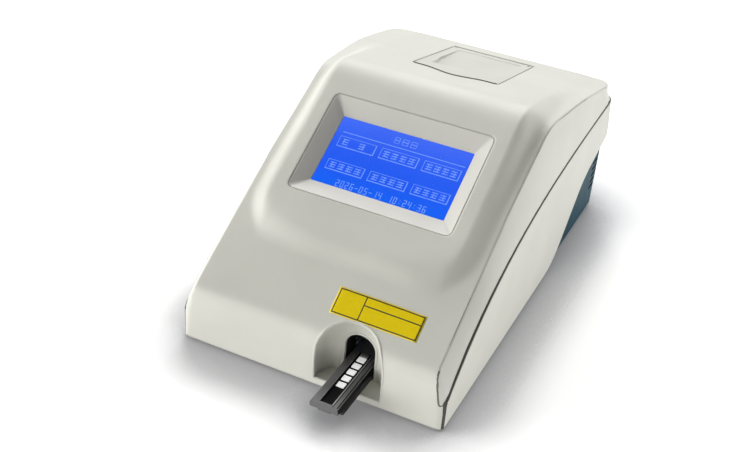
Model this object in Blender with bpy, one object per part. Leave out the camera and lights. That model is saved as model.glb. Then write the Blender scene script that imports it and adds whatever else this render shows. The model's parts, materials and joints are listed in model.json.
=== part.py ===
# Benchtop urine analyzer: a wedge-shaped casing in three shells, a tilted touch screen, a strip tray
# that slides in and out of an arched niche, and a thermal printer under a hinged lid.
#
# Frame: metres, +Z up, front towards -Y. The origin is on the table, under the middle of the
# box that holds the part with its tray out.

import math
import bpy
import bmesh
import numpy as np
from mathutils import Matrix, Vector

# Casing, outside
CASE_WIDTH = 0.181
CASE_DEPTH = 0.3224
FOOT_DROP = 0.002            # height of the casing's underside above the table
WALL = 0.0028                # upper shell
MID_WALL = 0.0023            # middle shell
BASE_WALL = 0.0025           # base housing
FRONT_CORNER = 0.005         # plan radius of the front corners
REAR_CORNER = 0.012          # the same of the rear ones at the foot
REAR_CORNER_TOP = 0.021      # and at the top
CREASE_INSET = 0.008         # the sharp edge along each side of the top, in from the side in front
CREASE_REAR_INSET = 0.002    # and at the rear, where it has spread
CREASE_HALF = CASE_WIDTH / 2 - CREASE_INSET
CREASE_REAR_HALF = CASE_WIDTH / 2 - CREASE_REAR_INSET
CREASE_SPREAD = (0.115, 0.290)
CROWN = 0.0025               # rise of the top between its two creases
CROWN_FADE = (0.150, 0.230)  # the rise is lost between these distances from the front face

# Side profile of the crease, then of the raised pad: y from the front face, z from the underside
RIM_FRONT = 0.0382
RIM_WAIST_Y = 0.095
RIM_WAIST_Z = 0.0965
RIM_TOP_Y = 0.163
RIM_TOP_Z = 0.131
RIM_SHOULDER_Y = 0.225
RIM_SHOULDER_Z = 0.1253
RIM_REAR_INSET = 0.0169
RIM_REAR_Y = CASE_DEPTH - RIM_REAR_INSET
RIM_REAR_Z = 0.1083
REAR_FOOT_Z = 0.067
PAD_FRONT = 0.0457
PAD_TOP_Y = 0.1551
PAD_TOP_Z = 0.1407
PAD_REAR_INSET = 0.0172
PAD_REAR_Y = CASE_DEPTH - PAD_REAR_INSET
PAD_REAR_Z = 0.1088
FRONT_ROUND = 0.014
RIM_WAIST_ROUND = 0.200
RIM_TOP_ROUND = 0.045
RIM_SHOULDER_ROUND = 0.250
PAD_TOP_ROUND = 0.042
REAR_ROUND = 0.009

# Raised pad, in plan
PAD_HALF = 0.065             # half width of its flat top
PAD_FOOT = 0.048             # where its flat top starts, from the front face
PAD_CORNER = 0.025
PAD_FLANK = 0.015            # width of the fillet down to the rim

# Parting line between the upper and the middle shell: it starts low at the front and levels out
PART_LEVEL = 0.096
PART_START = 0.0165
PART_REACH = 0.080
SEAM_Y = 0.003               # the front wall belongs to the upper shell as far as here
PANEL_GAP = 0.0012
TONGUE_THICK = 0.0018
TONGUE_DROP = 0.003
TONGUE_RISE = 0.0025

# Lower edge of the middle shell: on the table in front, then swept up
SKIRT_LIFT = 0.0006
SKIRT_TURN_Y = 0.2047
SKIRT_TURN_Z = 0.002
SKIRT_TOP_Y = 0.2587
SKIRT_TOP_Z = 0.048
SKIRT_END_Z = 0.065
SKIRT_ROUND_LOW = 0.045
SKIRT_ROUND_HIGH = 0.060

# Clearances
GAP = 0.0003                 # between pieces that touch
RUN = 0.0005                 # round pieces that turn
BORE_GAP = 0.00015           # radial, shaft in bore
CUT = 0.002                  # overrun of every cutter
MERGE_BAND = 0.0005          # how far a rib or boss runs into the wall that it grows from

# Strip niche: a scooped funnel with an arched mouth
NICHE_X = 0.0265
NICHE_DEPTH = 0.017
NICHE_SPRING_Z = 0.024
NICHE_FLOOR_Z = 0.0045
NICHE_SKIN = 0.0017
MOUTH_HALF = 0.0225
MOUTH_RISE = 0.027
THROAT_HALF = 0.0102
THROAT_RISE = 0.0104

# Strip tray
TRAY_REACH = 0.030           # how far it stands out of the front face at rest
TRAY_INSIDE = 0.092
TRAY_TRAVEL = 0.048
FLANGE_HALF = 0.0097
FLANGE_Z = 0.0052
FLANGE_THICK = 0.0014
WEB_HALF = 0.0073
PLATE_HALF = 0.0094
PLATE_Z = 0.0102
PLATE_THICK = 0.0038
PLATE_ROUND = 0.0012
TROUGH_HALF = 0.0038
TROUGH_DEPTH = 0.0022
TROUGH_LIP = 0.003
NOSE_HALF = 0.0042
NOSE_DROP = 0.002
NOSE_LENGTH = 0.006
FLANGE_SETBACK = 0.007

# Test strip on the tray
STRIP_HALF = 0.0034
STRIP_THICK = 0.0006
STRIP_LENGTH = 0.0527
PAD_COUNT = 5
TEST_PAD_WIDTH = 0.0051
TEST_PAD_LENGTH = 0.0047
TEST_PAD_THICK = 0.0007
TEST_PAD_PITCH = 0.00685
TEST_PAD_FIRST = 0.0203      # front edge of the first pad, from the tray's front end
STOP_LENGTH = 0.003
STOP_RISE = 0.0012

# Tray drive
MODULE = 0.001
PINION_TEETH = 16
RACK_START = 0.034           # from the front face, tray at rest
RACK_PITCH_X = 0.0125        # pitch line, left of the tray's middle
RACK_Z = 0.009
RACK_THICK = 0.004
PINION_Y = 0.087
PINION_LIFT = 0.0002
TOOTH_SLACK = 0.00012        # taken off each flank
PRESSURE_DEG = 20.0
ADDENDUM = 0.8               # in modules
DEDENDUM = 1.2
SHAFT_R = 0.00125
MOTOR_R = 0.010
MOTOR_HEIGHT = 0.018
MOTOR_LIFT = 0.0015          # bracket plate above the pinion
PLATE_GAUGE = 0.0012         # sheet metal
LEG_REACH = 0.0135

# Tray guide and light shroud
GUIDE_FLOOR = 0.0021
RAIL_THICK = 0.002
RAIL_TOP = 0.0084
RAIL_LIP = 0.0023
RAIL_LIP_THICK = 0.0014
GUIDE_END = 0.142
SHROUD_START = 0.0195
SHROUD_LENGTH = 0.0138
SHROUD_WALL = 0.0012

# Optical head above the tray
OPTIC_START = 0.038
OPTIC_LENGTH = 0.022
OPTIC_LEG_X = 0.0145
OPTIC_PLATE_Z = 0.0152
OPTIC_HEAD_HALF = 0.0095
OPTIC_HEAD_HEIGHT = 0.020
LENS_R = 0.0035
LENS_LENGTH = 0.006
BOARD_THICK = 0.0016
SENSOR_BOARD_HALF = 0.013

# Screen, measured in the pad's incline
SCREEN_Y = 0.1008            # its middle, from the front face
BEZEL_WIDTH = 0.113
BEZEL_HEIGHT = 0.076
BEZEL_CORNER = 0.004
WINDOW_WIDTH = 0.0932
WINDOW_HEIGHT = 0.0518
WINDOW_CORNER = 0.0008
BEZEL_LIP = 0.0009
BEZEL_DEPTH = 0.0058
BEZEL_FOOT = 0.001
BEZEL_FLANGE = 0.002
TOUCH_WIDTH = 0.102
TOUCH_HEIGHT = 0.0606
TOUCH_THICK = 0.0013
LCD_WIDTH = 0.108
LCD_HEIGHT = 0.066
LCD_THICK = 0.006
LCD_VIEW_STEP = 0.0005       # the view area lies this much below the metal frame
LCD_BOARD_WIDTH = 0.126
LCD_BOARD_HEIGHT = 0.078
POST_R = 0.003
POST_INSET_X = 0.0005
POST_INSET_Y = 0.0035

# Printer lid, measured along the falling top
LID_Y = 0.2003
LID_LENGTH_Y = 0.0847        # in plan
LID_WIDTH = 0.0637
LID_SLIT = 0.0004
LID_SLIT_FRONT = 0.0008
LID_THICK = 0.0028
LID_CORNER = 0.003
LID_BULGE = 0.0062
LID_BULGE_HALF = 0.024
BARREL_R = 0.003
EAR_WIDTH = 0.003
LID_PIN_R = 0.001
POCKET_Y = 0.0158            # from the lid's front edge, in plan
POCKET_LENGTH = 0.060
POCKET_HALF = 0.026
# Its flared sides and its sloping floor, from front to rear
POCKET_ALONG_SHARES = (0, 0.35, 1)
POCKET_FLARES = (0.0055, 0.0016, 0.0012)
POCKET_DEEP_SHARES = (1, 0.62, 0.06)
POCKET_DEPTH = 0.003
POCKET_SKIN = 0.0014
LID_TAB_HALF = 0.006
LID_TAB_DROP = 0.0045
LID_TAB_THICK = 0.0015
LID_OPEN_DEG = 85.0

# Paper bucket and roll
BUCKET_WALL = 0.0028
BUCKET_INSIDE_HALF = 0.0312
BUCKET_FLANGE = 0.0062
FLANGE_GAUGE = 0.002
ROLL_R = 0.020
ROLL_ROOM = 0.0015
ROLL_WIDTH = 0.057
ROLL_BORE_R = 0.0065
ROLL_Y = 0.2585
ROLL_Z = 0.0915
SPINDLE_R = 0.0058
SOCKET_DEPTH = 0.0014
SHELF_GAUGE = 0.002

# Printer mechanism
PRINTER_Y = 0.2045
PRINTER_LENGTH = 0.0265
PRINTER_Z = 0.0935
PRINTER_HEIGHT = 0.0255
PRINTER_HALF = 0.0325
PRINTER_PLATE = 0.0015
PLATEN_R = 0.005
PLATEN_Y = 0.2165
PLATEN_Z = 0.1145
PLATEN_HALF = 0.029
PLATEN_SHAFT_R = 0.002
HEAD_THICK = 0.0042
HEAD_HEIGHT = 0.013
GEAR_MODULE = 0.0006
GEAR_WIDTH = 0.003
GEAR_SLACK = 0.00008
PLATEN_TEETH = 24
IDLER_TEETH = 18
MOTOR_TEETH = 12
IDLER_BEARING_DEG = -48.0    # from the platen to the idler, in the y-z plane
MOTOR_BEARING_DEG = 205.0    # from the idler to the motor
STUB_R = 0.001
PRINTER_MOTOR_R = 0.006
PRINTER_MOTOR_LENGTH = 0.022

# Base housing
BASE_FRONT_HEIGHT = 0.012
BASE_OVERLAP = 0.010         # how far the side wall runs up behind the middle shell
BASE_EDGE = 0.0025           # chamfer round the underside
VENT_COUNT = 6
VENT_LENGTH = 0.012
VENT_HEIGHT = 0.0026
VENT_PITCH = 0.0055
VENT_Z = 0.020
VENT_FROM_REAR = 0.016
FLOOR_VENT_COUNT = 7
FLOOR_VENT_LENGTH = 0.034
FLOOR_VENT_WIDTH = 0.0024
FLOOR_VENT_PITCH = 0.006
FLOOR_VENT_Y = 0.235

# Feet and casing screws
FOOT_R = 0.007
FOOT_RECESS = 0.0012
FOOT_SIDE_INSET = 0.0225
FOOT_REAR_INSET = 0.0304
FOOT_X = CASE_WIDTH / 2 - FOOT_SIDE_INSET
FOOT_FRONT_Y = 0.034
FOOT_REAR_Y = CASE_DEPTH - FOOT_REAR_INSET
BOSS_R = 0.0042
BOSS_FRONT_INSET = 0.0185
BOSS_REAR_INSET = 0.0285
BOSS_END_INSET = 0.0454
BOSS_FRONT_X = CASE_WIDTH / 2 - BOSS_FRONT_INSET
BOSS_FRONT_Y = 0.015
BOSS_REAR_X = CASE_WIDTH / 2 - BOSS_REAR_INSET
BOSS_REAR_Y = CASE_DEPTH - BOSS_END_INSET
SCREW_R = 0.0015
SCREW_HEAD_R = 0.003
SCREW_HEAD = 0.0012
SCREW_LENGTH = 0.011
PILOT_R = 0.0017

# Boards
MAIN_INSET = 0.0105
POWER_INSET = 0.0345
POWER_REAR_INSET = 0.0264
MAIN_X = (MAIN_INSET - CASE_WIDTH / 2, -0.012)
MAIN_Y = (0.034, 0.150)
BOARD_Z = 0.0085
STANDOFF_R = 0.003
STANDOFF_INSET = 0.005
POWER_X = (-0.008, CASE_WIDTH / 2 - POWER_INSET)
POWER_Y = (0.192, CASE_DEPTH - POWER_REAR_INSET)
BUZZER_R = 0.006
BUZZER_HEIGHT = 0.007
TRANSFORMER = (0.026, 0.022, 0.020)

# Rear connectors: x and z of their middles
INLET_X = -0.052
INLET_Z = 0.034
INLET_WIDTH = 0.0275
INLET_HEIGHT = 0.020
INLET_FLANGE = 0.0035
INLET_LIP = 0.0022
INLET_BODY = 0.020
SOCKET_WIDTH = 0.0245
SOCKET_HEIGHT = 0.0165
SOCKET_DEEP = 0.0155
SOCKET_CHAMFER = 0.0045
BLADE_THICK = 0.002
BLADE_HEIGHT = 0.004
BLADE_LENGTH = 0.013
BLADE_SPREAD = 0.007
EARTH_RISE = 0.004
SWITCH_X = -0.018
SWITCH_WIDTH = 0.015
SWITCH_HEIGHT = 0.021
SWITCH_WALL = 0.0015
SWITCH_DEEP = 0.013
ROCKER_TILT_DEG = 7.0
ROCKER_HALF = 0.0075
ROCKER_REACH = 0.0045
SERIAL_X = 0.018
SERIAL_WIDTH = 0.031
SERIAL_HEIGHT = 0.0125
SERIAL_NOSE_WIDTH = 0.0165
SERIAL_NOSE_HEIGHT = 0.0083
SERIAL_NOSE = 0.0022
SERIAL_BODY = 0.009
USB_X = 0.052
USB_WIDTH = 0.0131
USB_HEIGHT = 0.0057
USB_SHELL = 0.0005
USB_DEEP = 0.014
USB_TONGUE = 0.0018

# Bends of a section up its side, then up the band between the parting line and the crease
SIDE_SHARES = (0, 0.38, 0.7)
BAND_SHARES = (0, 0.33, 0.67)
BAND_BEND = 1.35
KNEE_SHARE = 0.9             # the lowest bend of a section lies at this share of the parting height
CREASE_INSET_SHARE = 0.8           # how far the inner crease is drawn in, in walls
STEEPEST = 2.4               # a leaning wall's vertical cut is no longer than this many walls

# Facets
ARC_STEPS = 6
ROUND_SEGMENTS = 24
SMALL_SEGMENTS = 12
SHARP_DEG = 30.0

# Places worked out from the sizes
TOTAL_DEPTH = CASE_DEPTH + TRAY_REACH
FRONT_Y = TRAY_REACH - TOTAL_DEPTH / 2
REAR_Y = FRONT_Y + CASE_DEPTH
HALF_WIDTH = CASE_WIDTH / 2
BASE_HALF = HALF_WIDTH - MID_WALL - GAP
BASE_FLOOR = BASE_WALL
BASE_REAR_SET = MID_WALL + GAP
INCLINE = math.atan2(PAD_TOP_Z - PAD_FRONT, PAD_TOP_Y)
FALL = math.atan2(PAD_TOP_Z - PAD_REAR_Z, PAD_REAR_Y - PAD_TOP_Y)

COLOURS = {
    "case": ((0.62, 0.62, 0.585), 0.42, 0.0),
    "teal": ((0.05, 0.20, 0.25), 0.35, 0.0),
    "black": ((0.012, 0.012, 0.013), 0.55, 0.0),
    "tray": ((0.10, 0.10, 0.105), 0.45, 0.0),
    "white": ((0.86, 0.86, 0.85), 0.7, 0.0),
    "grey": ((0.35, 0.36, 0.37), 0.5, 0.0),
    "rubber": ((0.02, 0.02, 0.02), 0.85, 0.0),
    "glass": ((0.55, 0.62, 0.70), 0.08, 0.0),
    "screen": ((0.01, 0.12, 0.95), 0.3, 0.0),
    "board": ((0.02, 0.16, 0.06), 0.5, 0.0),
    "steel": ((0.60, 0.61, 0.63), 0.3, 1.0),
    "brass": ((0.72, 0.52, 0.22), 0.3, 1.0),
    "gear": ((0.78, 0.77, 0.70), 0.5, 0.0),
    "paper": ((0.88, 0.88, 0.86), 0.8, 0.0),
}


def clear_scene():
    for item in list(bpy.data.objects):
        bpy.data.objects.remove(item, do_unlink=True)


def material(name):
    found = bpy.data.materials.get(name)
    if found:
        return found
    colour, rough, metal = COLOURS[name]
    made = bpy.data.materials.new(name)
    made.use_nodes = True
    shader = made.node_tree.nodes["Principled BSDF"]
    shader.inputs["Base Color"].default_value = (*colour, 1.0)
    shader.inputs["Roughness"].default_value = rough
    shader.inputs["Metallic"].default_value = metal
    made.diffuse_color = (*colour, 1.0)
    return made


# From a distance behind the front face, or a height above the casing's underside, to the world
def at(depth):
    return FRONT_Y + depth


def up(height):
    return FOOT_DROP + height


# Mesh helpers
def add_object(name, bm, finish):
    bmesh.ops.recalc_face_normals(bm, faces=bm.faces)
    mesh = bpy.data.meshes.new(name)
    bm.to_mesh(mesh)
    bm.free()
    made = bpy.data.objects.new(name, mesh)
    bpy.context.scene.collection.objects.link(made)
    made.data.materials.append(material(finish))
    return made


def skin(bm, rings, close_ends=True):
    """Quads between rings of equal length, each ring closed on itself."""
    loops = [[bm.verts.new(point) for point in ring] for ring in rings]
    count = len(loops[0])
    for low, high in zip(loops, loops[1:]):
        for i in range(count):
            j = (i + 1) % count
            bm.faces.new((low[i], low[j], high[j], high[i]))
    if close_ends:
        bm.faces.new(list(reversed(loops[0])))
        bm.faces.new(loops[-1])
    return loops


def loft(name, rings, finish):
    bm = bmesh.new()
    skin(bm, rings)
    return add_object(name, bm, finish)


def block(name, low, high, finish, bevel=0.0):
    bm = bmesh.new()
    bmesh.ops.create_cube(bm, size=1.0)
    low, high = Vector(low), Vector(high)
    span, middle = high - low, (high + low) / 2
    for vert in bm.verts:
        vert.co = Vector(vert.co[i] * span[i] + middle[i] for i in range(3))
    if bevel:
        bmesh.ops.bevel(bm, geom=bm.edges[:], offset=bevel, segments=1, affect="EDGES", profile=0.5)
    return add_object(name, bm, finish)


def prism_x(name, outline, low_x, high_x, finish):
    """An outline of (y, z) points, extruded along X."""
    return loft(name, [[(x, y, z) for y, z in outline] for x in (low_x, high_x)], finish)


def prism_y(name, outline, low_y, high_y, finish):
    return loft(name, [[(x, y, z) for x, z in outline] for y in (low_y, high_y)], finish)


def prism_z(name, outline, low_z, high_z, finish):
    return loft(name, [[(x, y, z) for x, y in outline] for z in (low_z, high_z)], finish)


def circle(radius, segments, turn=0.0):
    step = 2 * math.pi / segments
    return [(radius * math.cos(step * i + turn), radius * math.sin(step * i + turn))
            for i in range(segments)]


AXIS_TURN = {
    "x": Matrix(((0, 0, 1), (1, 0, 0), (0, 1, 0))),
    "y": Matrix(((1, 0, 0), (0, 0, 1), (0, -1, 0))),
    "z": Matrix.Identity(3),
}


def rod(name, start, length, radius, finish, axis="z", segments=ROUND_SEGMENTS):
    """A round bar that starts at a point and runs along an axis."""
    turn = AXIS_TURN[axis]
    rings = [[Vector(start) + turn @ Vector((a, b, t)) for a, b in circle(radius, segments)]
             for t in (0, length)]
    return loft(name, rings, finish)


def combine(target, tool, how, keep=False):
    """Boolean of two objects, applied to the first one's mesh."""
    step = target.modifiers.new("cut", "BOOLEAN")
    step.object = tool
    step.operation = how
    step.solver = "EXACT"
    bpy.context.view_layer.update()
    result = bpy.data.meshes.new_from_object(target.evaluated_get(bpy.context.evaluated_depsgraph_get()))
    target.modifiers.clear()
    target.data = result
    if not keep:
        bpy.data.objects.remove(tool, do_unlink=True)
    return target


def cut(target, *tools):
    for tool in tools:
        combine(target, tool, "DIFFERENCE")
    return target


def join(target, *tools):
    for tool in tools:
        combine(target, tool, "UNION")
    return target


def clip(target, tool, keep=False):
    return combine(target, tool, "INTERSECT", keep)


def set_origin(item, point):
    """Move an object's origin without moving its shape."""
    shift = Vector(point)
    item.data.transform(Matrix.Translation(-shift))
    item.location = shift


def carry(holder, item):
    """The item moves with its holder and stays where it is now."""
    bpy.context.view_layer.update()
    item.parent = holder
    item.matrix_parent_inverse = holder.matrix_world.inverted()


# Outlines
def rounded(points, radii, steps=ARC_STEPS):
    """An open outline whose inner corners are arcs; radii has one value for each inner corner."""
    out = [Vector(points[0])]
    for i, radius in enumerate(radii, start=1):
        corner = Vector(points[i])
        back = (Vector(points[i - 1]) - corner).normalized()
        ahead = (Vector(points[i + 1]) - corner).normalized()
        half = back.angle(ahead) / 2
        reach = radius / math.tan(half)
        start, end = corner + back * reach, corner + ahead * reach
        centre = corner + (back + ahead).normalized() * (radius / math.sin(half))
        first, last = start - centre, end - centre
        sweep = first.angle(last)
        for k in range(steps + 1):
            share = k / steps
            arm = (first * math.sin((1 - share) * sweep) + last * math.sin(share * sweep)) / math.sin(sweep)
            out.append(centre + arm)
    out.append(Vector(points[-1]))
    return [tuple(point) for point in out]


def rounded_rectangle(half_x, half_y, radius, steps=3):
    out = []
    for quarter in range(4):
        sx = (1, -1, -1, 1)[quarter]
        sy = (1, 1, -1, -1)[quarter]
        for k in range(steps + 1):
            turn = math.pi / 2 * (quarter + k / steps)
            out.append((sx * (half_x - radius) + radius * math.cos(turn),
                        sy * (half_y - radius) + radius * math.sin(turn)))
    return out


# The casing's outer form: heights over the plan, from two side profiles
RIM = rounded(
    [(0, 0), (0, RIM_FRONT), (RIM_WAIST_Y, RIM_WAIST_Z), (RIM_TOP_Y, RIM_TOP_Z),
     (RIM_SHOULDER_Y, RIM_SHOULDER_Z), (RIM_REAR_Y, RIM_REAR_Z), (CASE_DEPTH, REAR_FOOT_Z)],
    [FRONT_ROUND, RIM_WAIST_ROUND, RIM_TOP_ROUND, RIM_SHOULDER_ROUND, REAR_ROUND])[1:]
PAD = rounded(
    [(0, 0), (0, PAD_FRONT), (PAD_TOP_Y, PAD_TOP_Z), (PAD_REAR_Y, PAD_REAR_Z), (CASE_DEPTH, REAR_FOOT_Z)],
    [FRONT_ROUND, PAD_TOP_ROUND, REAR_ROUND])[1:]
SKIRT = rounded(
    [(0, SKIRT_LIFT), (SKIRT_TURN_Y, SKIRT_TURN_Z), (SKIRT_TOP_Y, SKIRT_TOP_Z), (CASE_DEPTH, SKIRT_END_Z)],
    [SKIRT_ROUND_LOW, SKIRT_ROUND_HIGH])


def read(profile, depth):
    return float(np.interp(depth, [p[0] for p in profile], [p[1] for p in profile]))


def smooth(share):
    share = min(max(share, 0), 1)
    return share ** 3 * (share * (share * 6 - 15) + 10)


def between(span, depth):
    """Rises smoothly from 0 to 1 between the two ends of a span."""
    return smooth((depth - span[0]) / (span[1] - span[0]))


def pad_share(x, depth):
    """1 on the raised pad, 0 outside its fillet."""
    along = (depth - PAD_FOOT) / math.cos(INCLINE)
    over_x = abs(x) - (PAD_HALF - PAD_CORNER)
    over_y = PAD_CORNER - along
    outside = math.hypot(max(over_x, 0), max(over_y, 0)) + min(max(over_x, over_y), 0) - PAD_CORNER
    return 1 - smooth(outside / PAD_FLANK)


def top_height(x, depth):
    rim = read(RIM, depth)
    fade = smooth(depth / PAD_FOOT) * (1 - between(CROWN_FADE, depth))
    base = rim + CROWN * fade * (1 - min(abs(x) / CREASE_HALF, 1) ** 2)
    return base + pad_share(x, depth) * (read(PAD, depth) - base)


def part_height(depth):
    return PART_LEVEL - (PART_LEVEL - PART_START) * math.exp(-max(depth, 0) / PART_REACH)


def rear_reach(height):
    """How far back the casing runs at a height: its rear face leans forward above a foot."""
    lean = (CASE_DEPTH - RIM_REAR_Y) / (RIM_REAR_Z - REAR_FOOT_Z)
    return CASE_DEPTH - max(height - REAR_FOOT_Z, 0) * lean


def rear_radius(height):
    """Plan radius of the rear corners, which grows from the parting line to the top."""
    return REAR_CORNER + (REAR_CORNER_TOP - REAR_CORNER) * between((PART_LEVEL, RIM_REAR_Z), height)


def side_x(depth, height, inset):
    """Half width in plan at a height, with the corners rounded, drawn in by the inset."""
    radius = rear_radius(height)
    front, rear = FRONT_CORNER - depth, depth - (rear_reach(height) - radius)
    if front > 0:
        return HALF_WIDTH - FRONT_CORNER + math.sqrt(max((FRONT_CORNER - inset) ** 2 - front ** 2, 0))
    if rear > 0:
        return HALF_WIDTH - radius + math.sqrt(max((radius - inset) ** 2 - rear ** 2, 0))
    return HALF_WIDTH - inset


def crease_x(depth, height, inset):
    """The crease keeps off the rounded corners of the plan."""
    spread = CREASE_HALF + (CREASE_REAR_HALF - CREASE_HALF) * between(CREASE_SPREAD, depth)
    return min(spread - inset * CREASE_INSET_SHARE, side_x(depth, height, inset) - PANEL_GAP)


FLANK_SHARES = (0, 0.12, 0.27, 0.42, 0.58, 0.73, 0.88, 1)
FLAT_SHARES = (0.3, 0.62, 0.92)
# Depths of the niche's sections, and how far a corner is cut when it's drawn as two chamfers
NICHE_SHARES = (0, 0.3, 0.5, 0.66, 0.8, 0.9, 0.97, 1)
CORNER_SHARE = 0.3
NICHE_STEPS = 14
BULGE_STEPS = 12
ARCH_STEPS = 10              # the light shroud's arch
TUB_STEPS = 12               # the paper tub's round bottom
CURVE_CROWDING = 1.5         # the parting curve's points lie closer together towards its start
PLAIN_SECTIONS = 60          # most cross sections along the casing
FINE_SECTIONS = 150          # and where its edges are followed closely
# The printer's cheeks: height of the front edge, and length of the slope behind it
CHEEK_RISE_SHARE = 0.6
CHEEK_SLOPE_SHARE = 0.3
HEAD_BELOW_SHARE = 0.7
# The rocker's hidden side: its depth at the tips and in the middle, and the width of the tips
ROCKER_BACK_SHARES = (0.2, 0.4)
ROCKER_TIP_SHARE = 0.9
SERIAL_LEAN_SHARE = 0.18


def columns(fine):
    """Places across the top, from the middle to just inside the crease."""
    flank = [PAD_HALF + PAD_FLANK * share for share in (FLANK_SHARES if fine else FLANK_SHARES[::2])]
    flat = [PAD_HALF * share for share in FLAT_SHARES]
    return [0.0] + flat + [x for x in flank if x < CREASE_HALF - PANEL_GAP]


def quarter_arc(radius, steps):
    return [radius * (1 - math.cos(math.pi / 2 * k / steps)) for k in range(steps + 1)]


def stations(fine):
    """Places from front to rear, close together where the profiles turn."""
    foot = PAD_FOOT - PAD_FLANK * math.cos(INCLINE)
    flat = PAD_FOOT + PAD_CORNER * math.cos(INCLINE)
    steps = 11 if fine else 7
    band = [foot + (flat - foot) * k / steps for k in range(steps + 1)]
    front = quarter_arc(FRONT_CORNER, 3)
    rear = [CASE_DEPTH - reach for reach in quarter_arc(REAR_CORNER, 4)]
    rear += [rear_reach(RIM_REAR_Z) - reach for reach in quarter_arc(REAR_CORNER_TOP, 4)]
    top = [RIM_TOP_Y + (RIM_REAR_Y - RIM_TOP_Y) * k / 6 for k in (1, 2, 3, 4, 5)]
    arcs = [p[0] for p in RIM[:-1] + PAD[:-1]]
    middle = [foot / 2, (flat + PAD_TOP_Y) / 2]
    spread = sorted(min(max(place, 0), CASE_DEPTH) for place in band + arcs + middle + top + front + rear)
    least = CASE_DEPTH / (FINE_SECTIONS if fine else PLAIN_SECTIONS)
    kept = [0.0]
    for place in spread[1:]:
        near_end = place < FRONT_ROUND or place > rear_reach(RIM_REAR_Z) - REAR_CORNER_TOP
        if place - kept[-1] > (least / 4 if near_end else least):
            kept.append(place)
    kept[-1] = CASE_DEPTH
    return kept


def steepness(x, depth, step):
    """How much longer a wall's vertical cut is than its thickness."""
    across = (top_height(x + step, depth) - top_height(x - step, depth)) / (2 * step)
    ahead, behind = min(depth + step, CASE_DEPTH), max(depth - step, 0)
    along = (top_height(x, ahead) - top_height(x, behind)) / (2 * step)
    return min(math.sqrt(1 + across ** 2 + along ** 2), STEEPEST)


def section(depth, inset, floor):
    """One closed ring of the casing, across it at a depth, drawn in by the inset."""
    inner = min(max(depth, inset), CASE_DEPTH - inset)
    rim = top_height(CREASE_HALF, inner) - inset * steepness(0, inner, WALL)
    crease = crease_x(inner, rim, inset)
    part = min(part_height(inner), rim - inset)
    knee = min(part * KNEE_SHARE, REAR_FOOT_Z)
    heights = [floor] + [knee + (part - knee) * share for share in SIDE_SHARES]
    half = [(side_x(inner, height, inset), height) for height in heights]
    for share in BAND_SHARES:
        height = part + (rim - part) * share
        level = side_x(inner, height, inset)
        half.append((level + (crease - level) * share ** BAND_BEND, height))
    half.append((crease, rim))
    for x in reversed(columns(inset == 0)):
        reach = x * min(crease / CREASE_HALF, 1)
        half.append((reach, top_height(x, inner) - inset * steepness(x, inner, WALL) if inset
                     else top_height(x, inner)))
    ring = half + [(-x, z) for x, z in reversed(half[:-1])]
    return [(x, at(inner), up(z)) for x, z in ring]


def case_volume(name, inset, floor):
    kept = []
    for depth in stations(inset == 0):
        if inset <= depth <= CASE_DEPTH - inset:
            kept.append(depth)
    if inset:
        kept = [inset] + [d for d in kept if d > inset + WALL / 4]
        kept = [d for d in kept if d < CASE_DEPTH - inset - WALL / 4] + [CASE_DEPTH - inset]
    return loft(name, [section(depth, inset, floor) for depth in kept], "case")


# Curves in the y-z plane, as world points
def part_curve(offset, start, end, count=22):
    depths = [start + (end - start) * (k / count) ** CURVE_CROWDING for k in range(count + 1)]
    return [(at(depth), up(part_height(depth) + offset)) for depth in depths]


def skirt_curve(offset):
    return [(at(depth), up(height + offset)) for depth, height in SKIRT]


# The frame of the incline: origin on the pad's surface, in the middle of the screen
def incline_frame():
    height = read(PAD, SCREEN_Y)
    return Matrix.Translation((0, at(SCREEN_Y), up(height))) @ Matrix.Rotation(INCLINE, 4, "X")


# The frame of the falling top: origin on its surface at the lid's front edge, +y to the rear
def fall_frame():
    height = read(PAD, LID_Y)
    return Matrix.Translation((0, at(LID_Y), up(height))) @ Matrix.Rotation(-FALL, 4, "X")


def place(item, frame):
    item.data.transform(frame)
    return item


def plate(name, half_x, half_y, top, thick, finish, corner=0.0, centre=(0.0, 0.0)):
    """A flat plate in a tilted frame: its top lies at a depth below the frame's surface."""
    if corner:
        outline = rounded_rectangle(half_x, half_y, corner)
    else:
        outline = [(half_x, half_y), (-half_x, half_y), (-half_x, -half_y), (half_x, -half_y)]
    moved = [(x + centre[0], y + centre[1]) for x, y in outline]
    return prism_z(name, moved, -top - thick, -top, finish)


# Shells
def corner_places():
    """The four screws that hold the upper shell to the base: x, distance from the front, and a word."""
    return [(side * x, y, end + "_" + word)
            for side, word in ((-1, "left"), (1, "right"))
            for x, y, end in ((BOSS_FRONT_X, BOSS_FRONT_Y, "front"), (BOSS_REAR_X, BOSS_REAR_Y, "rear"))]


def niche_rings(grow, start, end, floor):
    """Arched sections of the strip niche, from its mouth to its throat."""
    depth = NICHE_DEPTH + grow
    rings = []
    places = [start] + [depth * share for share in NICHE_SHARES] + ([end] if end > depth else [])
    for place_y in places:
        inward = min(max(place_y, 0) / depth, 1)
        open_share = math.sqrt(max(1 - inward ** 2, 0))
        half = THROAT_HALF + (MOUTH_HALF - THROAT_HALF) * open_share + grow
        rise = THROAT_RISE + (MOUTH_RISE - THROAT_RISE) * open_share + grow
        ring = [(NICHE_X + half, at(place_y), up(floor)), (NICHE_X - half, at(place_y), up(floor))]
        for k in range(NICHE_STEPS + 1):
            turn = math.pi * (1 - k / NICHE_STEPS)
            ring.append((NICHE_X + half * math.cos(turn), at(place_y),
                         up(NICHE_SPRING_Z + rise * math.sin(turn))))
        rings.append(ring)
    return rings


def bosses():
    """Screw posts that hang from the upper shell down to the base."""
    return [rod("boss", (x, at(y), up(BASE_FLOOR + GAP)), top_height(x, y), BOSS_R, "case",
                segments=SMALL_SEGMENTS) for x, y, _ in corner_places()]


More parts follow.
